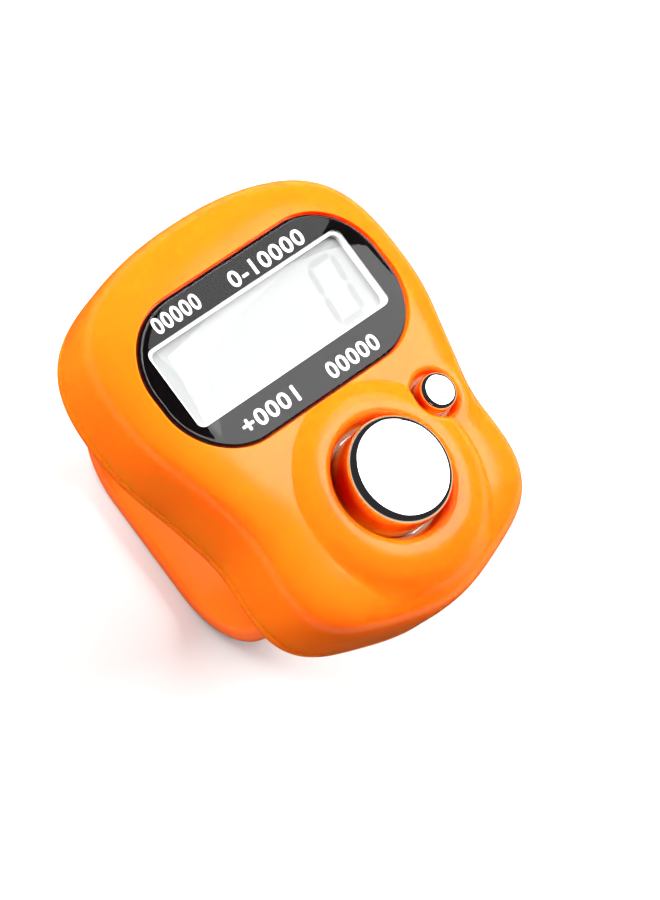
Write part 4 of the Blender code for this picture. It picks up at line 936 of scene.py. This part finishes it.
class MakeDisplay(bpy.types.Operator):
    """Clear lens that follows the crown, its printed film and marks, and the display's digit"""
    bl_idname = "counter.make_display"
    bl_label = "Make display"

    def execute(self, context):
        shape = CoverShape(context.scene)
        self.lens(shape)
        self.film(shape)
        self.marks(shape)
        self.digit(shape)
        return {"FINISHED"}

    @staticmethod
    def lens(shape):
        """Copies of the lens's outline, moved in and then shrunk to its middle, on both of its faces."""
        display, centre = shape.display, shape.lens_centre
        steps = 8
        sine, cosine = quarter(steps)
        moved = np.concatenate([display.lens_edge * (1 - cosine.ravel()), np.array(
            [0.5, 0.9, 1.4, 2.0, 2.7, 3.5, 4.3, 5.1, 5.8]) * MM])
        curves = [round_box(*(shape.lens_size - 2 * d), display.lens_corner - d, centre, 240) for d in moved]
        inmost = curves[-1]
        curves += [centre + (inmost - centre) * share for share in (0.85, 0.6, 0.35, 0.12, 0)]
        flat = np.stack(curves)
        out = outward(curves[0])
        normals = slopes(shape.lens_top, flat)
        normals[:steps] = at(out * cosine, sine[..., 0])
        under = flat[[0, *range(steps - 1, len(flat))]]
        top, bottom = at(flat, shape.lens_top(flat)), at(under, shape.lens_bottom(under))
        piece("lens", [
            grid(top, normals), grid(bottom, -slopes(shape.lens_bottom, under)),
            between(bottom[0], top[0], at(out, 0)),
        ], "clear_acrylic", "case", "display_lens")

    @staticmethod
    def film(shape):
        """Rows of points from the film's outline to its window, lifted onto the lens's underside."""
        display = shape.display
        outer = round_box(*shape.lens_size, display.lens_corner, shape.lens_centre, 400)
        centre = np.array([0, display.window_y])
        size = (display.window_width, display.window_height)
        window = rays_onto(size, display.window_corner, centre, outer)
        flat = outer + (window - outer) * np.linspace(0, 1, 12)[:, None, None]
        top, bottom = at(flat, shape.film_top(flat)), at(flat, shape.film_top(flat) - display.film)
        normal = slopes(shape.film_top, flat)
        piece("printed_film", [
            grid(top, normal), grid(bottom, -normal), between(bottom[0], top[0], at(outward(outer), 0)),
            between(bottom[-1], top[-1], at(-unit(outer - centre), 0)),
        ], "black_print", "case", "mask_film")

    @staticmethod
    def marks(shape):
        """Plain numbers and dashes on the film, over and under the window: place and width in millimetres."""
        thick = 0.009 * MM
        flats, faces = [], []
        for text, x, y, width in (
            ("00000", -6.65, 13.05, 5.2), ("0-10000", 3.7, 12.8, 8.6), ("+0001", -4.85, 2.0, 6.3),
            ("00000", 4.85, 1.85, 5.9),
        ):
            flat, polygons = text_shape(text, x * MM, y * MM, shape.display.mark_height, width * MM)
            start = sum(len(each) for each in flats)
            flats.append(flat)
            faces += [[start + i for i in polygon] for polygon in polygons]
        mesh = plate_mesh("white_marks", np.concatenate(flats), faces, shape.film_top, thick)
        shown("white_marks", mesh, "black_print", "case", look="white_print")

    @staticmethod
    def digit(shape):
        """One digit of six slanted bars with pointed ends, as thin plates on the polariser."""
        display = shape.display
        top = level("front_polariser")
        from_end, low, thick = 3.3 * MM, 0.4 * MM, 0.006 * MM
        high, gap, slant = display.digit_height, 0.1 * MM, math.radians(6)
        wide, half = high * 0.48, high * 0.05
        place = (display.window_width / 2 - from_end, display.window_y - low)
        bars = [((-wide / 2 + gap, y), (wide / 2 - gap, y)) for y in (high / 2, -high / 2)]
        for x in (-wide / 2, wide / 2):
            bars += [((x, gap), (x, high / 2 - gap)), ((x, -high / 2 + gap), (x, -gap))]
        points = []
        for start, end in np.array(bars):
            along = unit(end - start) * half
            across = np.array([-along[1], along[0]])
            points += [start, start + along - across, end - along - across, end, end - along + across,
                       start + along + across]
        flat = np.array(points)
        flat[:, 0] += flat[:, 1] * math.tan(slant)
        faces = np.arange(len(flat)).reshape(-1, 6).tolist()
        mesh = plate_mesh("display_digit", flat + place, faces, lambda p: np.full(len(p), top), thick)
        shown("display_digit", mesh, "display_glass", "case", look="display_ink")


def plate_mesh(name, flat, faces, base, thick):
    """Flat faces as a closed plate of even thickness on a base height field."""
    sides = {}
    for face in faces:
        for start, end in zip(face, [*face[1:], face[0]]):
            sides[start, end] = (end, start) not in sides
            if not sides[start, end]:
                sides[end, start] = False
    count, lift = len(flat), 0.001 * MM
    low = base(flat) + lift
    points = np.concatenate([at(flat, low), at(flat, low + thick)])
    solid = [[count + i for i in face] for face in faces] + [face[::-1] for face in faces]
    solid += [[a, b, count + b, count + a] for (a, b), free in sides.items() if free]
    mesh = bpy.data.meshes.new(name)
    mesh.from_pydata(points.tolist(), [], solid)
    face_out(mesh)
    return mesh


def text_shape(text, x, y, height, width):
    """A line of plain figures as flat points and faces, stretched to a width and height about a place."""
    curve = bpy.data.curves.new("figures", "FONT")
    curve.body = text
    curve.align_x, curve.align_y = "CENTER", "CENTER"
    curve.resolution_u = 6
    curve.offset = 0.02
    curve.space_character = 1.12
    helper = bpy.data.objects.new("figures", curve)
    bpy.context.scene.collection.objects.link(helper)
    bpy.context.view_layer.update()
    mesh = bpy.data.meshes.new_from_object(helper.evaluated_get(bpy.context.evaluated_depsgraph_get()))
    flat = np.array([v.co[:2] for v in mesh.vertices])
    faces = [list(p.vertices) for p in mesh.polygons]
    bpy.data.objects.remove(helper, do_unlink=True)
    bpy.data.curves.remove(curve)
    bpy.data.meshes.remove(mesh)
    low, high = flat.min(axis=0), flat.max(axis=0)
    flat = (flat - (low + high) / 2) / (high - low) * (width, height)
    return flat + (x, y), faces


# Keys

class MakeKeys(bpy.types.Operator):
    """Two chromed keys, each a rounded cap, a flange and a stem, and the rubber springs under them"""
    bl_idname = "counter.make_keys"
    bl_label = "Make keys"

    def execute(self, context):
        keys = context.scene.counter_keys
        self.key("count_cap", "count_key", keys.count_radius, keys.count_edge, stem=1.7 * MM, count=200)
        self.key("reset_cap", "reset_key", keys.reset_radius, keys.reset_edge, stem=1.4 * MM, count=96)
        self.spring("count_dome", "count_spring", "count_press", keys.spring_wall)
        self.spring("reset_dome", "reset_spring", "reset_press", keys.spring_wall)
        return {"FINISHED"}

    @staticmethod
    def spring(name, node, joint, wall):
        """A hollow cone with a flat top and foot, turned from (radius, level) points."""
        top, bottom = level(node), level(node, top=False)
        foot = span(node, 0) / 2
        root, shoulder = foot - wall, (foot - wall) / 2
        corners = [
            (0, top), (shoulder, top), (root, bottom + wall), (foot, bottom + wall), (foot, bottom),
            (root - wall, bottom), (shoulder - wall, top - wall), (0, top - wall),
        ]
        patches = [turned(middle(node), pair, 72, side=1) for pair in zip(corners, corners[1:])]
        dome = piece(name, patches, "grey_rubber", "case", node)
        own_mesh(dome)

    @staticmethod
    def key(name, node, radius, edge, stem, count):
        """A profile of (radius, level) points turned about the key's axis: cap, flange, stem and foot."""
        top, bottom = level(node), level(node, top=False)
        over_belt, flange_thick, fillet = 3.55 * MM, 0.7 * MM, 0.08 * MM
        flange_high = CoverShape(bpy.context.scene).belt + over_belt
        flange_low = flange_high - flange_thick
        flange, foot = span(node, 0) / 2 - fillet, stem - fillet
        face = [(0, top), (radius * 0.5, top), (radius - 2 * edge, top)]
        parts = (
            [*face, *arc((radius - edge, top - edge), edge, 90, 0, 8), (radius, flange_high)],
            [(radius, flange_high), (flange, flange_high)],
            [*arc((flange, flange_high - fillet), fillet, 90, 0, 3),
             *arc((flange, flange_low + fillet), fillet, 0, -90, 3)],
            [(flange, flange_low), (stem, flange_low)],
            [(stem, flange_low), (stem, bottom + fillet)],
            arc((foot, bottom + fillet), fillet, 0, -90, 3),
            [(foot, bottom), (0, bottom)],
        )
        patches = [turned(middle(node), part, count, side=1) for part in parts]
        piece(name, patches, "chromed_plastic", node, node)


# Bodies that are joined and cut

SLACK = 0.15 * MM  # room round the strap and the coin cell
BEYOND = 1.5 * MM  # how far a cutting body reaches past what it cuts


def lofted(rows, name="body"):
    """A closed body through rings of equal count."""
    count = len(rows[0])
    ends = [list(range(count))[::-1], list(range((len(rows) - 1) * count, len(rows) * count))]
    mesh = bpy.data.meshes.new(name)
    mesh.from_pydata(np.concatenate(rows).tolist(), [], quads(len(rows), count).tolist() + ends)
    return mesh


def upright(ring, low, high):
    """A body between two levels over a flat ring."""
    return lofted([at(ring, low), at(ring, high)])


def rod(centre, radius, low, high, count):
    return upright(circle(centre, radius, count), low, high)


def block(low, high, turn=0.0):
    """A box from corner to corner, turned about the upright axis."""
    corners = np.array([(low[0], low[1]), (high[0], low[1]), (high[0], high[1]), (low[0], high[1])])
    turning = np.array([(math.cos(turn), math.sin(turn)), (-math.sin(turn), math.cos(turn))])
    return upright(corners @ turning, low[2], high[2])


def lying(section, half):
    """A body along X over a ring of (y, z) points."""
    return lofted([np.column_stack([np.full(len(section), x), section]) for x in (-half, half)])


def lying_rod(y, z, radius, half, count):
    return lying(circle((y, z), radius, count), half)


def combine(mesh, others, operation):
    """Cuts or joins meshes with the exact solver, and keeps the result in the first."""
    scene = bpy.context.scene
    body, *tools = [bpy.data.objects.new("body", each) for each in (mesh, *others)]
    for each in (body, *tools):
        face_out(each.data)
        scene.collection.objects.link(each)
    for tool in tools:
        modifier = body.modifiers.new("combine", "BOOLEAN")
        modifier.object, modifier.operation, modifier.solver = tool, operation, "EXACT"
    bpy.context.view_layer.update()
    made = bpy.data.meshes.new_from_object(body.evaluated_get(bpy.context.evaluated_depsgraph_get()))
    bm = bmesh.new()
    bm.from_mesh(made)
    bmesh.ops.remove_doubles(bm, verts=bm.verts, dist=0.002 * MM)
    bmesh.ops.dissolve_degenerate(bm, edges=bm.edges, dist=0.001 * MM)
    bm.to_mesh(mesh)
    bm.free()
    for each in (body, *tools):
        bpy.data.objects.remove(each)
    bpy.data.meshes.remove(made)
    for other in others:
        bpy.data.meshes.remove(other)


def finished(mesh, name, slot, body, node, sharp):
    """Shows a cut mesh smooth, with sharp edges from an angle in degrees."""
    mesh.name = name
    mesh.shade_smooth()
    mesh.set_sharp_from_angle(angle=math.radians(sharp))
    return shown(name, mesh, slot, body, node)


# Base

class MakeBase(bpy.types.Operator):
    """Base of the case: rolled edge, finger saddle, locating lip, cell pocket, sockets and screw posts"""
    bl_idname = "counter.make_base"
    bl_label = "Make base"

    def execute(self, context):
        self.base, self.case = context.scene.counter_base, context.scene.counter_case
        self.strap = context.scene.counter_strap
        self.curve = outline(280)
        self.rim, self.parting = level("base_shell", top=False), level("top_shell", top=False)
        self.seam = self.parting - self.base.seam
        self.above = self.parting + self.base.lip_height + BEYOND
        self.under = self.rim - BEYOND
        self.floor = self.rim + self.base.floor
        self.axis = self.rim + self.base.saddle_depth - self.base.saddle_radius
        self.measure()
        shell = self.tray()
        self.join(shell)
        self.cut(shell)
        finished(shell, "base", "moulded_orange", "case", "base_shell", 32)
        return {"FINISHED"}

    def saddle(self, more=0.0):
        """The cylinder that the finger lies in, as a body that is cut out."""
        return lying_rod(0, self.axis, self.base.saddle_radius + more, 40 * MM, 256)

    def underside(self, flat, edge):
        """The saddle's cylinder or the edge, whichever is higher."""
        saddle = self.axis + np.sqrt(np.maximum(self.base.saddle_radius**2 - flat[..., 1] ** 2, 0))
        return smooth_max(saddle, np.broadcast_to(edge, saddle.shape), self.base.saddle_edge)

    def tray(self):
        """The outer form with a lid at the seam, and the lip, with the room inside cut out."""
        base, case, rim, seam = self.base, self.case, self.rim, self.seam
        out = outward(self.curve)
        bend = np.radians(np.linspace(90, 0, 17))
        inset = case.draft + base.round_reach * (1 - np.cos(bend))
        rings = self.curve - inset[:, None, None] * out
        rolled = rim + base.round_height * (1 - np.sin(bend))[:, None]
        side = np.concatenate([at(rings, self.underside(rings, rolled)), at(rings[-1:], seam)])
        across = np.arange(-19, 19.5) * MM
        inner = np.stack(np.meshgrid(across, across), axis=-1).reshape(-1, 2)
        inner = inner[within(inner, rings[0] * 0.97)]
        shell = welded("base", [
            grid(side, UP), field(rings[0], [], inner, lambda p: self.underside(p, rim)),
            field(rings[-1], [], inner[:0], lambda p: np.full(len(p), seam)),
        ], shaded=False)
        lip_inset = case.draft + case.wall + case.fit
        lip = upright(self.curve - out * lip_inset, seam - base.lip_height, self.parting + base.lip_height)
        combine(shell, [lip], "UNION")
        room_inset = lip_inset + base.lip_wall
        bend = np.radians(np.linspace(90, 0, 9))
        room = lofted([
            *[at(self.curve - out * (room_inset + (base.round_reach - case.wall) * (1 - math.cos(angle))),
                 self.floor + (base.round_height - case.wall) * (1 - math.sin(angle))) for angle in bend],
            at(self.curve - out * room_inset, self.above),
        ])
        combine(room, [self.saddle(base.floor)], "DIFFERENCE")
        combine(shell, [room], "DIFFERENCE")
        return shell

    def measure(self):
        """Places and radii that joining and cutting share."""
        strap, fit = self.strap, self.case.fit
        half_lug, lug_rise, over_cell = 1.4 * MM, 0.89 * MM, 0.05 * MM
        self.screws = [middle(f"case_screw_{index}") for index in (1, 2, 3, 4)]
        self.roots = (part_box("strap_long")[1].y - strap.bead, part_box("strap_clasp")[0].y + strap.bead)
        self.bead, self.socket = level("strap_long") - strap.bead, strap.bead + fit
        self.half = strap.width / 2 + SLACK
        self.cell = span("coin_cell", 0) / 2 + SLACK
        self.lug = math.hypot(span("battery_door", 0) / 2, half_lug) + fit
        self.cell_low = level("coin_cell", top=False)
        self.lug_top = self.cell_low + lug_rise
        self.pocket_top = level("coin_cell") + over_cell
        self.pocket_wall = self.cell + self.base.cell_wall

    def join(self, shell):
        """Joins the screws' posts, the blocks round the strap's beads and the coin cell's walls."""
        base, seam, bead = self.base, self.seam, self.bead
        sunk, saddle_cover, wall_rise = 0.1 * MM, 0.5 * MM, 1.5 * MM
        low = self.floor - base.floor / 2
        foot = self.floor - sunk
        wide, out = self.half + base.socket_wall, self.socket + base.socket_wall
        combine(shell, [rod(place, base.post_radius + 2 * self.case.fit, seam, self.above, 64)
                        for place in self.screws], "DIFFERENCE")
        pocket = rod((0, 0), self.lug + base.cell_wall, low, self.lug_top + base.cell_wall, 160)
        combine(pocket, [self.saddle(saddle_cover)], "DIFFERENCE")
        combine(shell, [
            *[rod(place, base.post_radius, foot, seam, 64) for place in self.screws],
            *[block((-wide, y - out, low), (wide, y + out, bead + out)) for y in self.roots],
            pocket, rod((0, 0), self.pocket_wall, low + wall_rise, self.pocket_top, 160),
        ], "UNION")

    def cut(self, shell):
        """Cuts the coin cell's pocket, the door's seat and notches, the strap's sockets and screw holes."""
        base, under, over = self.base, self.under, self.pocket_top + BEYOND
        half_notch, door_rise, into_cell, head_height = 1.64 * MM, 0.17 * MM, 0.2 * MM, 0.65 * MM
        contact = span("positive_contact", 0) / 2 + self.case.fit
        door = span("battery_door", 1) / 2 + self.case.fit
        combine(shell, [
            rod((0, 0), self.cell, under, over, 160),
            rod((0, 0), door, under, self.cell_low + door_rise, 160),
            rod((0, 0), self.lug, self.floor + base.saddle_depth, self.lug_top, 160),
            block((-self.lug, -half_notch, under), (self.lug, half_notch, self.lug_top), -base.door_turn),
            block((-contact, self.cell - into_cell, self.lug_top + base.cell_wall),
                  (contact, self.pocket_wall + BEYOND, over)),
        ], "DIFFERENCE")
        head = level("case_screw_1", top=False) + head_height
        combine(shell, [
            *[lying_rod(y, self.bead, self.socket, self.half, 48) for y in self.roots],
            *[self.mouth(*each) for each in zip(self.roots, (0, base.clasp_swing), (1, -1))],
            *[rod(place, base.screw_well, under, head, 64) for place in self.screws],
            *[rod(place, base.screw_way, self.rim, self.parting + BEYOND, 40) for place in self.screws],
        ], "DIFFERENCE")

    def mouth(self, y, swing, side):
        """The slot under a bead's socket: upright inside, leaning out by the swing."""
        half, bead, under = self.strap.thickness / 2 + SLACK, self.bead, self.under
        near = half / math.cos(swing)
        far = near + (bead - under) * math.tan(swing)
        corners = ((-half, bead), (-half, under), (far, under), (near, bead))
        return lying([(y + side * out, z) for out, z in corners], self.half)


# Strap

class MakeStrap(bpy.types.Operator):
    """Both halves of the strap: rounded bands that swell into beads at their roots"""
    bl_idname = "counter.make_strap"
    bl_label = "Make strap"

    def execute(self, context):
        strap = context.scene.counter_strap
        bead = level("strap_long") - strap.bead
        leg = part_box("strap_long")[1].y - strap.bead
        under_case, long_tip, clasp_tip = 0.8 * MM, 3.0 * MM, 2.0 * MM
        tip = level("base_shell", top=False) - under_case
        lowest = strap.thickness / 2
        bend, inner = lowest + strap.bend, leg - strap.bend
        path = np.concatenate([
            [(leg, bead + strap.bead)], arc((inner, bend), strap.bend, 0, -90, 24),
            arc((-inner, bend), strap.bend, -90, -180, 24), [(-leg, tip)],
        ])
        long_half = self.band(strap, path, "long", long_tip)
        first = tip - (bead - strap.first_peg)
        holes = [self.hole(path, first + i * strap.pitch, strap) for i in range(5)]
        combine(long_half, holes, "DIFFERENCE")
        low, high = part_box("strap_clasp")
        root = low.y + strap.bead
        path = np.array([(root, bead + strap.bead), (root, low.z)])
        clasp = self.band(strap, path, "clasp", clasp_tip)
        top_peg = bead - strap.first_peg
        pegs = [self.peg(strap, root, top_peg - i * strap.pitch, high.y - root) for i in range(2)]
        combine(clasp, pegs, "UNION")
        finished(long_half, "strap_long_half", "soft_orange", "case", "strap_long", 38)
        finished(clasp, "strap_short_half", "soft_orange", "clasp", "strap_clasp", 38)
        return {"FINISHED"}

    @staticmethod
    def band(strap, path, name, tip_radius):
        """A rounded section carried along a path of (y, z) points.

        Its half thickness is that of the band, or of the bead where that is more. Its half width narrows on
        a quarter circle at the tip.
        """
        total, bead, half = travel(path)[-1], strap.bead, strap.thickness / 2
        near = bead - bead * np.cos(np.radians(np.linspace(4, 180, 24)))
        row_gap, past_bead, thinner_end = 0.5 * MM, 0.4 * MM, 0.2 * MM
        body = np.arange(2 * bead + past_bead, total - tip_radius, row_gap)
        last = total - tip_radius + tip_radius * np.sin(np.radians(np.linspace(0, 88, 14)))
        along = np.concatenate([near, body, last, [total]])
        step = 0.05 * MM
        forward = unit(along_path(path, along + step) - along_path(path, along - step))
        side = np.column_stack([forward[:, 1], -forward[:, 0]])
        swell = np.sqrt(np.maximum(bead**2 - (along - bead) ** 2, 0))
        thick = np.maximum(swell, np.where(along > bead, half, 0))
        thick[-1] = half - thinner_end
        short = np.clip(along - (total - tip_radius), 0, tip_radius)
        wide = strap.width / 2 - (tip_radius - np.sqrt(np.maximum(tip_radius**2 - short**2, 0)))
        wide[-1] = wide[-2]

        # Round the section: four corners, and the wide faces between them
        thick, wide = thick[:, None], wide[:, None]
        corner = np.minimum(strap.edge, thick * 0.95)
        flat = 1 - 2 * np.linspace(0, 1, 14)[1:-1]
        parts = []
        for start, (x, t) in zip((0, 90, 180, 270), ((1, 1), (-1, 1), (-1, -1), (1, -1))):
            angles = np.radians(start + np.linspace(0, 90, 6))
            across, through = x * (wide - corner), t * (thick - corner)
            turned_x, turned_t = across + corner * np.cos(angles), through + corner * np.sin(angles)
            parts.append(np.stack([turned_x, turned_t], axis=-1))
            if x == t:
                face = across * flat
                parts.append(np.stack([face, np.broadcast_to(t * thick, face.shape)], axis=-1))
        section = np.concatenate(parts, axis=1)
        yz = along_path(path, along)[:, None] + side[:, None] * section[..., 1:]
        return lofted(np.concatenate([section[..., :1], yz], axis=-1), name)

    @staticmethod
    def hole(path, distance, strap):
        """A rod through the band at a distance back from its tip."""
        back = path[::-1]
        place = along_path(back, distance)
        along = unit(along_path(back, distance + 0.1 * MM) - place)
        through = np.array([along[1], -along[0]]) * strap.thickness
        ring = circle((0, 0), strap.hole, 48)
        return lofted([np.column_stack([ring[:, 0], *(place + move + np.outer(ring[:, 1], along)).T])
                       for move in (-through, through)])

    @staticmethod
    def peg(strap, y, z, reach_out):
        """A tapered peg with a round nose, turned about the line into the other half."""
        root, nose, round_end = 0.75 * MM, 0.5 * MM, 0.25 * MM
        end = reach_out - round_end
        side = [(root, 0), (root, strap.thickness / 2), (nose, end)]
        profile = np.concatenate([side, arc((nose - round_end, end), round_end, 0, 80, 5)])
        ring = circle((0, 0), 1, 40)
        return lofted([
            np.column_stack([radius * ring[:, 0], np.full(len(ring), y + out), z + radius * ring[:, 1]])
            for radius, out in profile
        ])


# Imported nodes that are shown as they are

NODE_SLOTS = {
    "battery_door": "moulded_orange", "display_frame": "white_plastic",
    "front_polariser": "display_glass", "front_glass": "display_glass", "rear_glass": "display_glass",
    "reflector": "silver_film", "zebra_connector": "striped_rubber", "circuit_board": "board_green",
    "chip_blob": "black_epoxy", "capacitor": "tan_ceramic", "resistor": "tan_ceramic",
    "coin_cell": "plated_steel", "negative_contact": "plated_steel", "positive_contact": "plated_steel",
}


class DressNodes(bpy.types.Operator):
    """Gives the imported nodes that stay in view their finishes"""
    bl_idname = "counter.dress_nodes"
    bl_label = "Dress packed nodes"

    def execute(self, context):
        for name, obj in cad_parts.items():
            slot = NODE_SLOTS.get(name) or ("plated_steel" if "screw" in name else None)
            if slot:
                for index in range(len(obj.material_slots)):
                    obj.material_slots[index].material = MATERIALS[slot]
        return {"FINISHED"}


# Studio

class MakeStage(bpy.types.Operator):
    """Pale floor, soft lights and the camera"""
    bl_idname = "counter.make_stage"
    bl_label = "Make stage"

    def execute(self, context):
        scene = context.scene
        looks = scene.counter_looks
        scene.view_settings.view_transform = "Standard"
        scene.world = self.surroundings()
        self.floor(tuple(looks.floor_colour))
        self.softbox("lower_softbox", (0.5843, -0.0615, 0.8093), 0.503, (0.25, 0.29), 3.5)
        self.softbox("upper_softbox", (0.5394, 0.2971, 0.7879), 0.517, (0.12, 0.29), 2.0)
        self.softbox("right_fill", (0.75, -0.1, 0.65), 0.7, (0.6, 0.6), 13).visible_glossy = False
        self.softbox("back_fill", (-0.3, 0.72, 0.62), 0.7, (0.6, 0.6), 15).visible_glossy = False
        self.camera()
        return {"FINISHED"}

    @staticmethod
    def surroundings():
        """What polished faces mirror: a dark room above, a cream band under the horizon, dark below."""
        world = bpy.data.worlds.new("dim_studio")
        world.use_nodes = True
        tree = world.node_tree
        tree.nodes.clear()
        place = add(tree, "SeparateXYZ", {}, {"Vector": add(tree, "TexCoord", {}).outputs["Generated"]})
        share = add(tree, "MapRange", {"From Min": -1.0, "From Max": 1.0}, {"Value": place.outputs["Z"]})
        ramp = add(tree, "ValToRGB", {}, {"Fac": share.outputs["Result"]})
        cream = (0.75, 0.62, 0.45)
        stops = ((0.20, (0.05, 0.035, 0.03)), (0.26, cream), (0.48, cream), (0.5, (0.03, 0.028, 0.03)))
        elements = ramp.color_ramp.elements
        for _ in stops[2:]:
            elements.new(1.0)
        for element, (position, tone) in zip(elements, stops):
            element.position, element.color = position, (*tone, 1)
        back = add(tree, "Background", {}, {"Color": ramp.outputs["Color"]})
        add(tree, "OutputWorld", {}, {"Surface": back.outputs["Background"]})
        return world

    @staticmethod
    def floor(tone):
        """A matt pale sheet under the strap, rougher and smoother in patches of some millimetres."""
        material, tree, output, place = new_material("matt_white_floor")
        grain = add(tree, "TexNoise", {"Scale": 1 / (3 * MM)}, {"Vector": place})
        rough = add(tree, "MapRange", {"To Min": 0.75, "To Max": 0.9}, {"Value": grain.outputs["Fac"]})
        shader = add(tree, "BsdfPrincipled", {"Base Color": (*tone, 1), "Specular IOR Level": 0.2},
                     {"Roughness": rough.outputs["Result"]})
        tree.links.new(shader.outputs["BSDF"], output.inputs["Surface"])
        half, count = 3, 7
        across = np.linspace(-half, half, count)
        points = at(np.stack(np.meshgrid(across, across), axis=-1), -0.05 * MM)
        mesh = bpy.data.meshes.new("floor")
        mesh.from_pydata(points.reshape(-1, 3).tolist(), [], quads(count, count, closed=False).tolist())
        mesh.materials.append(material)
        floor = bpy.data.objects.new("floor", mesh)
        bpy.context.scene.collection.objects.link(floor)
        floor.visible_glossy = False

    @staticmethod
    def softbox(name, direction, distance, size, radiance):
        """An area light that faces the counter. Its power gives the radiance that its reflection shows."""
        aim, direction = Vector((0, 0, 27 * MM)), Vector(direction)
        light = bpy.data.lights.new(name, "AREA")
        light.shape = "RECTANGLE"
        light.size, light.size_y = size
        light.energy = radiance * math.pi * size[0] * size[1]
        obj = bpy.data.objects.new(name, light)
        obj.location = aim + direction.normalized() * distance
        obj.rotation_euler = direction.to_track_quat("Z", "Y").to_euler()
        bpy.context.scene.collection.objects.link(obj)
        return obj

    @staticmethod
    def camera():
        """The photograph's camera: its place, and its right, upward and backward directions."""
        data = bpy.data.cameras.new("camera")
        data.sensor_width, data.lens = 36, 190.83
        data.clip_start, data.clip_end = 0.01, 20
        camera = bpy.data.objects.new("camera", data)
        place = Vector((-210.04, -20.65, 368.4)) * MM
        axes = Matrix([(0.700, -0.593, 0.399), (0.488, 0.804, 0.339), (-0.521, -0.043, 0.852)])
        turn = axes.transposed().to_quaternion().to_matrix()
        camera.matrix_world = Matrix.Translation(place) @ turn.to_4x4()
        bpy.context.scene.collection.objects.link(camera)
        bpy.context.scene.camera = camera


STEPS = (MakeCover, MakeDisplay, MakeKeys, MakeBase, MakeStrap, DressNodes, MakeStage)


class CounterPanel(bpy.types.Panel):
    """Lists the counter's sizes, colours and steps"""
    bl_idname = "VIEW3D_PT_counter"
    bl_label = "Finger tally counter"
    bl_space_type = "VIEW_3D"
    bl_region_type = "UI"
    bl_category = "Counter"

    def draw(self, context):
        for name, group in SETTINGS.items():
            box = self.layout.box()
            for field_name in group.__annotations__:
                box.prop(getattr(context.scene, name), field_name)
        for step in STEPS:
            self.layout.operator(step.bl_idname)


def register():
    for each in (*SETTINGS.values(), *STEPS, CounterPanel):
        bpy.utils.register_class(each)
    for name, group in SETTINGS.items():
        setattr(bpy.types.Scene, name, PointerProperty(type=group))


def unregister():
    for name in SETTINGS:
        delattr(bpy.types.Scene, name)
    for each in reversed((*SETTINGS.values(), *STEPS, CounterPanel)):
        bpy.utils.unregister_class(each)


def main():
    register()
    make_materials(bpy.context.scene.counter_looks)
    for step in STEPS:
        group, name = step.bl_idname.split(".")
        getattr(getattr(bpy.ops, group), name)()


if __name__ == "__main__":
    main()
